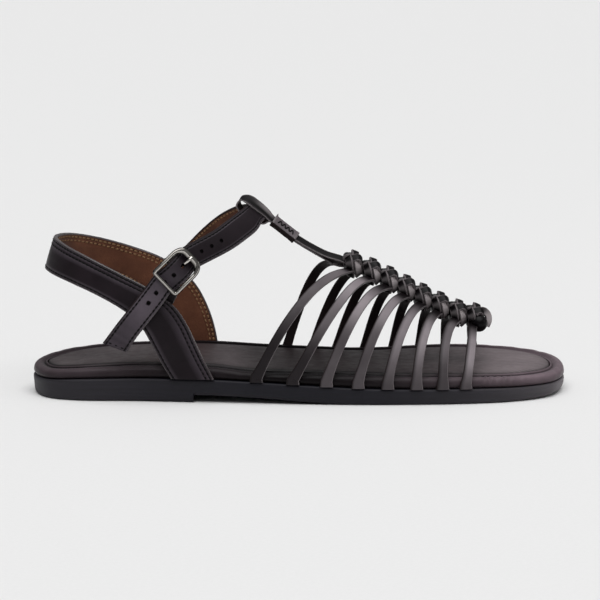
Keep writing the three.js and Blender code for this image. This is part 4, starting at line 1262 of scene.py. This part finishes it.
def make_t_bar():
    along, face_across, up, middle = keeper_axes()
    straight = KEEPER_SIZE["length"] / 2 + T_BAR["beyond"]
    _, _, knot_up, knot_at = ridge_frame(STRAPS[0]["knot"], 1.0)

    def in_plane(row):
        return np.array([row["x"], RIDGE_Y, row["z"]])

    def lane(sign, name):
        inside = [middle + along * a + up * sign * T_BAR["lane"] for a in (-straight, 0, straight)]
        parted = [in_plane(row) + up * sign * row[name] for row in LANES_TO_KNOT]
        return inside + parted + [knot_at + knot_up * (KNOT["lift"] + sign * T_BAR["lane"])]

    bend = [in_plane(row) for row in LOOP]
    points = through(lane(1, "above")[::-1] + bend + lane(-1, "below"), T_BAR_STEPS)
    across, normals = path_frames(points, np.cross(face_across, tangents(points)))
    section = strip_section(T_BAR["thickness"], T_BAR_STRIP["corner"], T_BAR_STRIP["dome"])
    place = np.arange(len(points)) / T_BAR_STEPS
    doubled = hump((place - LOOP_DOUBLED["at"]) / LOOP_DOUBLED["width"]) * LOOP_DOUBLED["extra"]
    pale = hump((place - LOOP_HIGHLIGHT["at"]) / LOOP_HIGHLIGHT["width"]) * LOOP_HIGHLIGHT["pale"]
    inward = np.sign(np.sum(across * (LOOP_MIDDLE - points), axis=1))
    points = points + across * (inward * doubled / 2)[:, None]
    half = (T_BAR["width"] + doubled) / 2
    outside = -inward[:, None] * sideways(section, half)
    # Painted highlight on the outer layer of the loop.
    worn = pale[:, None] * np.clip((outside - LOOP_HIGHLIGHT["begin"]) / LOOP_HIGHLIGHT["over"], 0, 1)
    parts = Parts()
    parts.add(*strip_mesh(points, across, normals, half, section, rim=T_BAR_STRIP["rim"]), worn.ravel())
    piece = parts.piece("t_bar_strip", [T_BAR_LEATHER, CUT_EDGE_AND_SHEEN, BACK_LEATHER])
    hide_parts("upper")
    return piece


def rounded_rectangle(width, height, radius, steps=5):
    corners = []
    for k, signs in enumerate(((1, 1), (-1, 1), (-1, -1), (1, -1))):
        turns = np.linspace(0, math.pi / 2, steps) + k * math.pi / 2
        centre = np.multiply(signs, [width / 2 - radius, height / 2 - radius])
        corners.append(centre + radius * np.stack([np.cos(turns), np.sin(turns)], axis=-1))
    return np.vstack(corners)


# Zigzag seam: its turns, places across the keeper, margin at either end, height as a share of the keeper's,
# and length of a stitch as a share of the way from turn to turn.
KEEPER_ZIGZAG = {"turns": 4, "near": -1.4, "far": 1.3, "margin": 2.4, "height": 0.53, "length": 0.95}
# Zones of the sleeve: its skin from ring to ring, and an end, the bore and the other end.
KEEPER_SKIN_ZONES = [EDGE, EDGE, OUTER, OUTER, OUTER, OUTER, EDGE, EDGE]
KEEPER_ENDS_AND_BORE = [EDGE, OUTER, EDGE]
# The far upper corner stands out as an ear at the ankle's end: where it begins across and along, as shares,
# and how far it stands out.
EAR = {"across": 0.3, "along": -0.9, "grow": 0.3}
# The keeper's near wall is in shade from this share of its width.
KEEPER_SHADE = -0.45
# Rings of the sleeve: place along it as a share of half its length, and swell of the skin.
KEEPER_SKIN = table(
    "along swell",
    (-1, 0.97),
    (-0.97, 1.05),
    (-0.86, 1.03),
    (-0.78, 0.99),
    (0, 0.98),
    (0.78, 0.99),
    (0.86, 1.03),
    (0.97, 1.05),
    (1, 0.97),
)


def make_keeper():
    """Leather sleeve: an outer and an inner skin that meet at rounded ends, sewn in a zigzag."""
    along, across, up, middle = keeper_axes()
    half = KEEPER_SIZE["length"] / 2
    width, height, wall = (KEEPER_SIZE[name] for name in ("width", "height", "wall"))
    outer = rounded_rectangle(width, height, KEEPER_SIZE["corner"])
    inner = rounded_rectangle(width - 2 * wall, height - 2 * wall, KEEPER_SIZE["bore_corner"])
    at_ear = np.all(outer > [EAR["across"] * width, EAR["across"] * height], axis=1)[:, None]
    rings = []
    for row in KEEPER_SKIN:
        ear = 1 + EAR["grow"] * at_ear if row["along"] < EAR["along"] else 1
        rings.append((outer * row["swell"] * ear, row["along"] * half))
    rings += [(inner, half), (inner, -half)]
    points = np.vstack([
        middle + along * a + np.outer(section[:, 0], across) + np.outer(section[:, 1], up)
        for section, a in rings
    ])
    count = len(outer)
    faces = grid_faces(len(rings), count, closed=True)
    zones = np.repeat(KEEPER_SKIN_ZONES + KEEPER_ENDS_AND_BORE, count).reshape(-1, count)
    zones[:, outer[:, 0] < KEEPER_SHADE * width] = INNER
    materials = [KEEPER_LEATHER, CUT_EDGE_AND_SHEEN, BACK_LEATHER]
    piece = mesh_object("keeper_dressed", points, faces, materials, zones.ravel())
    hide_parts("t_bar_keeper")
    turns = 2 * KEEPER_ZIGZAG["turns"]
    places = np.linspace(KEEPER_ZIGZAG["margin"] - half, half - KEEPER_ZIGZAG["margin"], turns + 1)
    sides = np.where(np.arange(turns + 1) % 2, KEEPER_ZIGZAG["far"], KEEPER_ZIGZAG["near"])
    line = middle + up * height * KEEPER_ZIGZAG["height"] + np.outer(places, along) + np.outer(sides, across)
    steps = np.diff(line, axis=0)
    length = KEEPER_ZIGZAG["length"] * float(np.linalg.norm(steps, axis=1).mean())
    sewn = Parts()
    add_stitches_at(sewn, (line[:-1] + line[1:]) / 2, steps, np.tile(up, (turns, 1)), length)
    return sewn.piece("keeper_stitches", [DARK_THREAD])


# Bands: heel strap and ankle strap

def heel_rows():
    def foot(side):
        def at(x):
            return np.array([x, float(RIDGE_Y + reach(side, x, HEEL_THICKNESS)), float(seat_z(x)) + GAP])

        return {name: at(x) for name, x in HEEL_FOOT.items()}

    rows = [foot("lateral"), *HEEL_ROWS, foot("medial")]
    return column(rows, "low"), column(rows, "high")


BUCKLE_N = unit(BUCKLE_OUT)
BUCKLE_U = unit(BUCKLE_ALONG - BUCKLE_N * (BUCKLE_ALONG @ BUCKLE_N))
BUCKLE_V = np.cross(BUCKLE_N, BUCKLE_U)
BUCKLE_BARS = (BUCKLE["length"] - BUCKLE["wire"]) / 2


def on_buckle(u, v, n):
    """Points in the buckle's own axes: along the strap, across it and out of it."""
    u, v, n = (np.asarray(c, float)[..., None] for c in (u, v, n))
    return BUCKLE_AT + BUCKLE_U * u + BUCKLE_V * v + BUCKLE_N * n


def band_edges(rows, width):
    """Lower and upper edges of a band given by its middle, the direction across it, and what its lower edge
    has beyond the width."""
    middles, across = column(rows, "at"), column(rows, "across")
    lower = np.array([row.get("lower", 0.0) for row in rows])[:, None]
    return middles - across * (width / 2 + lower), middles + across * width / 2


def ankle_edges():
    """Edges of the ankle strap, threaded under the buckle's ends and over its bar."""
    under = -(BUCKLE["wire"] + ANKLE["thickness"]) / 2 - 3 * GAP
    over = BUCKLE["bar"] / 2 - BUCKLE["bar_drop"] + TAB["thickness"] + 2 * GAP + ANKLE["thickness"] / 2
    wave = table(
        "u n lower",
        (BUCKLE_BARS + 1, under, 0.9),
        (BUCKLE_BARS - 1.2, under, 0.4),
        (2, over, 0.4),
        (-2, over, 0.4),
        (1.2 - BUCKLE_BARS, under, 0.4),
        (-BUCKLE_BARS - 1, under),
    )
    threaded = [{**row, "at": on_buckle(row["u"], 0, row["n"]), "across": BUCKLE_V} for row in wave]
    return band_edges(MEDIAL_BRANCH + threaded + TAIL, ANKLE["width"])


# Sewn rows: the edge, and the distance from it; tip is the distance of a row across the band's last end.
HEEL_SEAMS = {
    "outer": [(UPPER, 1.5), (UPPER, 3.5), (LOWER, 1.5)],
    "inner": [(UPPER, 1.6), (UPPER, 3.4), (LOWER, 1.6)],
}
ANKLE_SEAMS = {
    "outer": [(UPPER, 1.5), (LOWER, 1.5)],
    "inner": [(UPPER, 1.5), (LOWER, 1.5)],
    "tip": 1.5,
}


def stitched_band(name, node, band, thickness, seams, worn=0.0, dark_side=0):
    """A lined strap with rounded ends and sewn rows, painted lighter as a highlight where given and along the
    lips of its grooves.
    """
    outer, inner = seams["outer"], seams["inner"]
    section = strip_section(thickness, BAND["corner"], BAND["dome"], outer, inner, dark_side)
    points, faces, zones, edge = strip_mesh(**band, section=section, rounded=True)
    # Each rounded end has one row more than the band.
    worn = np.pad(np.broadcast_to(worn, len(band["half"])), 1, mode="edge")
    # Painted highlight on the lips of the grooves.
    lit_lips = np.array([-min(tone, 0) for *_, tone in section])
    parts = Parts()
    parts.add(points, faces, zones, edge, np.maximum(worn[:, None], lit_lips[None]).ravel())
    # A shaded edge, where there is one, takes the back leather, painted dark as shade.
    piece = parts.piece(name, [BAND_LEATHER, EDGE_PAINT_AND_SHEEN, LINING, BACK_LEATHER])
    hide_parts(node)
    for label, sign, material in (("outer", 1, DARK_THREAD), ("inner", -1, TAN_THREAD)):
        height = sign * thickness / 2
        sewn = Parts()
        for side, distance in seams[label]:
            add_stitches(sewn, *band_line(band, side, distance, height))
        if "tip" in seams:
            add_stitches(sewn, *tip_line(band, seams["tip"], height))
        sewn.piece(f"{name}_{label}_stitches", [material])
    return piece


def tip_line(band, distance, height):
    """Line across a band at a distance from its last end, and its normals."""
    s = lengths(band["centre"])
    i = int(np.abs(s - (s[-1] - distance)).argmin())
    shares = np.linspace(-1, 1, num=8)[:, None] * (band["half"][i] - distance)
    line = band["centre"][i] + band["across"][i] * shares + band["normal"][i] * height
    return line, np.tile(band["normal"][i] * np.sign(height), (len(line), 1))


def make_heel_strap():
    band = band_frames(*heel_rows(), per_row=9)
    return stitched_band("heel_strap_dressed", "heel_strap", band, HEEL_THICKNESS, HEEL_SEAMS)


# Creases across the ankle strap's tail, measured back from its tip.
TAIL_CREASES = table(
    "from_tip width depth",
    (3.4, 0.8, 0.4),
    (6.6, 1.0, 0.42),
    (10.8, 1.3, 0.36),
    (16.5, 1.6, 0.24),
)
# Painted highlight on the strap from its tip to the buckle, where the tail catches the light; x is measured
# back from the tip.
TAIL_HIGHLIGHT = table(
    "x worn",
    (0, 0.5),
    (8, 0.65),
    (24, 1),
    (38, 0.9),
    (46, 0.35),
    (54, 0),
)


def make_ankle_strap():
    band = band_frames(*ankle_edges(), per_row=16)
    s = lengths(band["centre"])
    from_tip = s[-1] - s
    for row in TAIL_CREASES:
        dent = row["depth"] * fold((from_tip - row["from_tip"]) / row["width"], FOLD_RIDGE["tail"])
        band["centre"] = band["centre"] - band["normal"] * dent[:, None]
    worn = smooth(TAIL_HIGHLIGHT, "worn", from_tip)
    # Its upper edge is a shaded copy, painted dark as shade.
    piece = stitched_band(
        "ankle_strap_dressed", "ankle_strap", band, ANKLE["thickness"], ANKLE_SEAMS, worn, dark_side=UPPER)
    punch_holes(piece, band)
    return piece


def punch_holes(piece, band):
    """Round holes at an even pitch, each a pit on either face whose floor is painted dark as shade, and the
    pin's hole stretched long and open.
    """
    centre = band["centre"]
    thick = ANKLE["thickness"]
    pin = lengths(centre)[np.linalg.norm(centre - on_buckle(PIN_HOLE_U, 0, 0), axis=1).argmin()]
    turns = full_turn(HOLE["sides"])
    pits = Parts()
    for k in range(HOLE["first"], HOLE["last"] + 1):
        place = [pin + k * HOLE["pitch"]]
        point, across, normal = (
            at_lengths(centre, band[name], place)[0] for name in ("centre", "across", "normal")
        )
        along = unit(np.cross(across, normal))
        stretch = HOLE["pin_stretch"] if k == 0 else 1.0
        circle = np.outer(np.cos(turns) * stretch, along) + np.outer(np.sin(turns), across)
        circle = point + circle * HOLE["radius"]
        if k == 0:
            pits.add(*prism(circle, normal * 2 * thick))
        else:
            for face in (-1, 1):
                pits.add(*prism(circle + normal * face * (thick + HOLE["floor"]), normal * thick))
    cut(piece, np.vstack(pits.points), pits.faces)


def prism(ring_points, reach_out):
    """Points and faces of a closed shape on either side of a ring."""
    return np.vstack([ring_points - reach_out, ring_points + reach_out]), tube_faces(2, len(ring_points))


def cut(piece, points, faces, sharp=50):
    """Takes a closed shape out of a piece and paints the cut dark as shade."""
    mesh = bpy.data.meshes.new("cutter")
    mesh.from_pydata((points * METRES).tolist(), [], faces)
    mesh.materials.append(HOLE_SHADE)
    cutter = bpy.data.objects.new("cutter", mesh)
    bpy.context.scene.collection.objects.link(cutter)
    modifier = piece.modifiers.new("cut", "BOOLEAN")
    modifier.object = cutter
    modifier.solver = "EXACT"
    modifier.material_mode = "TRANSFER"
    shown_piece = piece.evaluated_get(bpy.context.evaluated_depsgraph_get())
    left = bpy.data.meshes.new_from_object(shown_piece)
    piece.modifiers.clear()
    piece.data = left
    bpy.data.objects.remove(cutter)
    left.set_sharp_from_angle(angle=math.radians(sharp))


def make_buckle_tab():
    """Strip folded over the buckle's bar, its ends inside the heel strap, slotted for the pin."""
    wrap = BUCKLE["bar"] / 2 + GAP + TAB["thickness"] / 2
    turns = TAB_FOLD["tilt"] + np.linspace(-math.pi / 2, math.pi / 2, TAB_FOLD["rows"])
    turned_over = on_buckle(wrap * np.cos(turns), 0, wrap * np.sin(turns) - BUCKLE["bar_drop"])
    layer = BUCKLE_N * (TAB["thickness"] / 2 + TAB_FOLD["apart"])

    def foot(side):
        return [{"at": np.array(row["at"]) + layer * side, "across": row["across"]} for row in TAB_FOOT]

    rows = foot(-1) + [{"at": at, "across": BUCKLE_V} for at in turned_over] + foot(1)[::-1]
    band = band_frames(*band_edges(rows, TAB["width"]), per_row=4)
    parts = Parts()
    parts.add(*strip_mesh(**band, section=strip_section(TAB["thickness"], TAB["corner"])))
    piece = parts.piece("buckle_tab_dressed", [BAND_LEATHER, EDGE_PAINT_AND_SHEEN, BACK_LEATHER])
    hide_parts("buckle_tab")
    u = TAB_SLOT["at"] + TAB_SLOT["half"] * np.array([-1, 1, 1, -1])
    v = (BUCKLE["pin"] / 2 + TAB_SLOT["room"]) * np.array([-1, -1, 1, 1])
    cut(piece, *prism(on_buckle(u, v, -BUCKLE["bar_drop"]), BUCKLE_N * TAB_SLOT["deep"]))
    return piece


# Buckle

def add_rod(parts, path, normals, width, height, closed=False, sides=12, crest=None):
    """Adds a rod of oval section along a path, painted bright all over, or with a painted highlight along the
    crest on the side of its normals, to a power of the turn."""
    along = unit(np.roll(path, -1, axis=0) - np.roll(path, 1, axis=0)) if closed else tangents(path)
    across = unit(np.cross(normals, along))
    normals = np.cross(along, across)
    turns = full_turn(sides)
    width, height = (np.broadcast_to(v, len(path))[:, None, None] / 2 for v in (width, height))
    rings = path[:, None] + across[:, None] * width * np.cos(turns)[None, :, None]
    rings = rings + normals[:, None] * height * np.sin(turns)[None, :, None]
    faces = grid_faces(len(path), sides, closed=True) if closed else tube_faces(len(path), sides)
    rubbed = np.ones(sides) if crest is None else np.clip(np.sin(turns), 0, 1) ** crest
    parts.add(rings.reshape(-1, 3), faces, worn=np.tile(rubbed, len(path)))


# Corners of the frame: signs of their places along and across, where the arc starts, and its radius.
BUCKLE_CORNERS = table(
    "u v start radius",
    (1, -1, -90, 4.2),
    (1, 1, 0, 4.2),
    (-1, 1, 90, 0.9),
    (-1, -1, 180, 0.9),
)
# The end where the pin rests is broader: from this share of the length, by this share of the wire, and
# how much of that goes to the outside.
BUCKLE_END = {"begin": 0.45, "broad": 0.7, "out": 0.45}
# Wire of the frame: its sides, how far its middle bows out, its height and the lugs' width as shares of
# the wire, and how narrow the painted highlight along its crest is.
BUCKLE_WIRE = {"sides": 16, "bow": 0.35, "flat": 0.95, "lug": 0.8, "crest": 6.0}
BUCKLE_STATIONS = {"corner": 9, "frame": 160, "bar": 12, "lug": 6}


def make_buckle_frame():
    """Square corners at the near end, rounded ones where the pin's tip rests."""
    w, h = BUCKLE_BARS, (BUCKLE["width"] - BUCKLE["wire"]) / 2
    wire, bar, drop = (BUCKLE[name] for name in ("wire", "bar", "bar_drop"))
    outline = []
    for row in BUCKLE_CORNERS:
        turns = np.radians(row["start"] + np.linspace(0, 90, BUCKLE_STATIONS["corner"]))
        middle = [row["u"] * (w - row["radius"]), row["v"] * (h - row["radius"])]
        outline.append(middle + row["radius"] * np.stack([np.cos(turns), np.sin(turns)], axis=-1))
    ends_meet = np.vstack([*outline, outline[0][:1]])
    places = np.linspace(0, lengths(ends_meet)[-1], BUCKLE_STATIONS["frame"], endpoint=False)
    u, v = at_lengths(ends_meet, ends_meet, places).T
    past = np.clip((u / w - BUCKLE_END["begin"]) / (1 - BUCKLE_END["begin"]), 0, 1)
    broad = past**2 * BUCKLE_END["broad"]
    path = on_buckle(u + BUCKLE_END["out"] * wire * broad, v, BUCKLE_WIRE["bow"] * (1 - (u / w) ** 2))
    parts = Parts()
    add_rod(parts, path, BUCKLE_N, wire * (1 + broad), wire * BUCKLE_WIRE["flat"], True,
            BUCKLE_WIRE["sides"], BUCKLE_WIRE["crest"])
    add_rod(parts, on_buckle(0, np.linspace(-h, h, BUCKLE_STATIONS["bar"]), -drop), BUCKLE_N, bar, bar)
    for side in (-1, 1):
        lug = on_buckle(0, side * h, np.linspace(0, -drop - bar / 2, BUCKLE_STATIONS["lug"]))
        add_rod(parts, lug, BUCKLE_U, wire * BUCKLE_WIRE["lug"], bar)
    piece = parts.piece("buckle_frame_dressed", [BUCKLE_METAL])
    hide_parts("buckle_frame")
    return piece


PIN_TOP = BUCKLE["wire"] / 2 + GAP + BUCKLE["pin"] / 2
# The pin's eye: width and radius past the bar as shares of the pin, and stations.
PIN_EYE = {"width": 0.75, "radius": 0.36, "stations": 28}
# The pin from its eye up through the strap's hole and over the frame: places along the buckle and out of it.
PIN_RUN = table(
    "u n",
    (BUCKLE["bar"] / 2 + GAP + BUCKLE["pin"] * (PIN_EYE["width"] - 0.5), -BUCKLE["bar_drop"]),
    (PIN_HOLE_U - 0.6, -1.6),
    (PIN_HOLE_U + 0.5, 0.2),
    (BUCKLE_BARS - 1.4, PIN_TOP),
    (BUCKLE_BARS + 0.9, PIN_TOP),
)
# Thickness of the pin as a share, by stations back from its tip.
PIN_TAPER = {"tip": 0.6, "near_tip": 0.95, "stations": 3}


def make_buckle_pin():
    """Rod from an eye on the bar up through the strap to the rounded end of the frame."""
    u, n = through(columns(PIN_RUN, "u n"), per_segment=8).T
    last = len(u) - 1
    places = [0, last - PIN_TAPER["stations"], last]
    shares = [1, PIN_TAPER["near_tip"], PIN_TAPER["tip"]]
    thick = BUCKLE["pin"] * np.interp(np.arange(len(u)), places, shares)
    parts = Parts()
    add_rod(parts, on_buckle(u, 0, n), BUCKLE_V, thick, thick)
    turns = full_turn(PIN_EYE["stations"])
    radius = BUCKLE["bar"] / 2 + GAP + BUCKLE["pin"] * PIN_EYE["radius"]
    eye = on_buckle(radius * np.cos(turns), 0, radius * np.sin(turns) - BUCKLE["bar_drop"])
    add_rod(parts, eye, BUCKLE_V, BUCKLE["pin"] * PIN_EYE["width"], BUCKLE["pin"], closed=True)
    piece = parts.piece("buckle_pin_dressed", [BUCKLE_METAL])
    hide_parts("buckle_pin")
    return piece


# Lights, floor and camera

CAMERA = {"pitch": 8.6, "distance": 1.0, "target": (0.0, 0.0, 0.04263), "lens": 124.3, "sensor": 36.0}
FLOOR_SIZE = 80.0
FLOOR_TONES = ((231, 231, 231), (233, 233, 233))
# Main softbox, high in front, far enough to light the whole floor evenly, and a small one at the toe.
SUN = {"place": (0.05, -0.36, 1.0), "target": (0, 0, 0), "spread": 62.0, "strength": 2.45}
SIDE_BOX = {"place": (1.1, -0.2, 0.35), "target": (0, 0, 0.03), "size": 0.4, "power": 0.6}
# Room light by direction: strength at the front and the back of the room, low and overhead, and where the
# room goes from low to overhead and from front to back.
ROOM = {"front_low": 0.06, "front_high": 0.35, "back_low": 0.25, "back_high": 0.35}
ROOM_RISE = (0.0, 0.8)
ROOM_DEPTH = (-0.4, 0.6)


def add_aimed(name, data, place, target):
    """Adds a camera or a light at a place, turned to a target."""
    thing = bpy.data.objects.new(name, data)
    thing.location = place
    x, y, z = np.subtract(target, thing.location)
    thing.rotation_euler = (math.pi / 2 + math.atan2(z, math.hypot(x, y)), 0, math.atan2(-x, y))
    bpy.context.scene.collection.objects.link(thing)
    return thing


def add_camera():
    data = bpy.data.cameras.new("camera")
    data.lens, data.sensor_width = CAMERA["lens"], CAMERA["sensor"]
    pitch = math.radians(CAMERA["pitch"])
    x, y, z = CAMERA["target"]
    place = (x, y - CAMERA["distance"] * math.cos(pitch), z + CAMERA["distance"] * math.sin(pitch))
    bpy.context.scene.camera = add_aimed("camera", data, place, CAMERA["target"])


def add_stage():
    n = new_material("studio_floor")
    tone = n.mix(n.ramp(n.noise(scale=600.0, detail=2.0), 0.3, 0.7), *FLOOR_TONES)
    n.set(n.shader, Base_Color=tone, Roughness=0.9, Specular_IOR_Level=0.1)
    mesh = bpy.data.meshes.new("studio_floor")
    s = FLOOR_SIZE / 2
    mesh.from_pydata([(-s, -s, 0), (s, -s, 0), (s, s, 0), (-s, s, 0)], [], [(0, 1, 2, 3)])
    mesh.materials.append(n.owner)
    floor = bpy.data.objects.new("studio_floor", mesh)
    bpy.context.scene.collection.objects.link(floor)
    add_world()
    add_lights()
    bpy.context.scene.view_settings.view_transform = "Standard"


def add_world():
    world = bpy.data.worlds.new("studio")
    n = Nodes(world, "Background")
    way = n.set(n.node("ShaderNodeSeparateXYZ"), Vector=n.place["Generated"]).outputs
    front = n.ramp(way["Z"], *ROOM_RISE, ROOM["front_low"], ROOM["front_high"])
    back = n.ramp(way["Z"], *ROOM_RISE, ROOM["back_low"], ROOM["back_high"])
    n.set(n.shader, Color=(1, 1, 1, 1), Strength=n.ramp(way["Y"], *ROOM_DEPTH, front, back))
    bpy.context.scene.world = world


def add_lights():
    sun = bpy.data.lights.new("front_top", "SUN")
    sun.angle = math.radians(SUN["spread"])
    sun.energy = SUN["strength"]
    add_aimed("front_top", sun, SUN["place"], SUN["target"])
    box = bpy.data.lights.new("right_box", "AREA")
    box.size = SIDE_BOX["size"]
    box.energy = SIDE_BOX["power"]
    add_aimed("right_box", box, SIDE_BOX["place"], SIDE_BOX["target"])


make_outsole()
make_footbed()
make_insole()
make_straps()
make_knots()
make_t_bar()
make_keeper()
make_heel_strap()
make_ankle_strap()
make_buckle_frame()
make_buckle_pin()
make_buckle_tab()
add_stage()
add_camera()
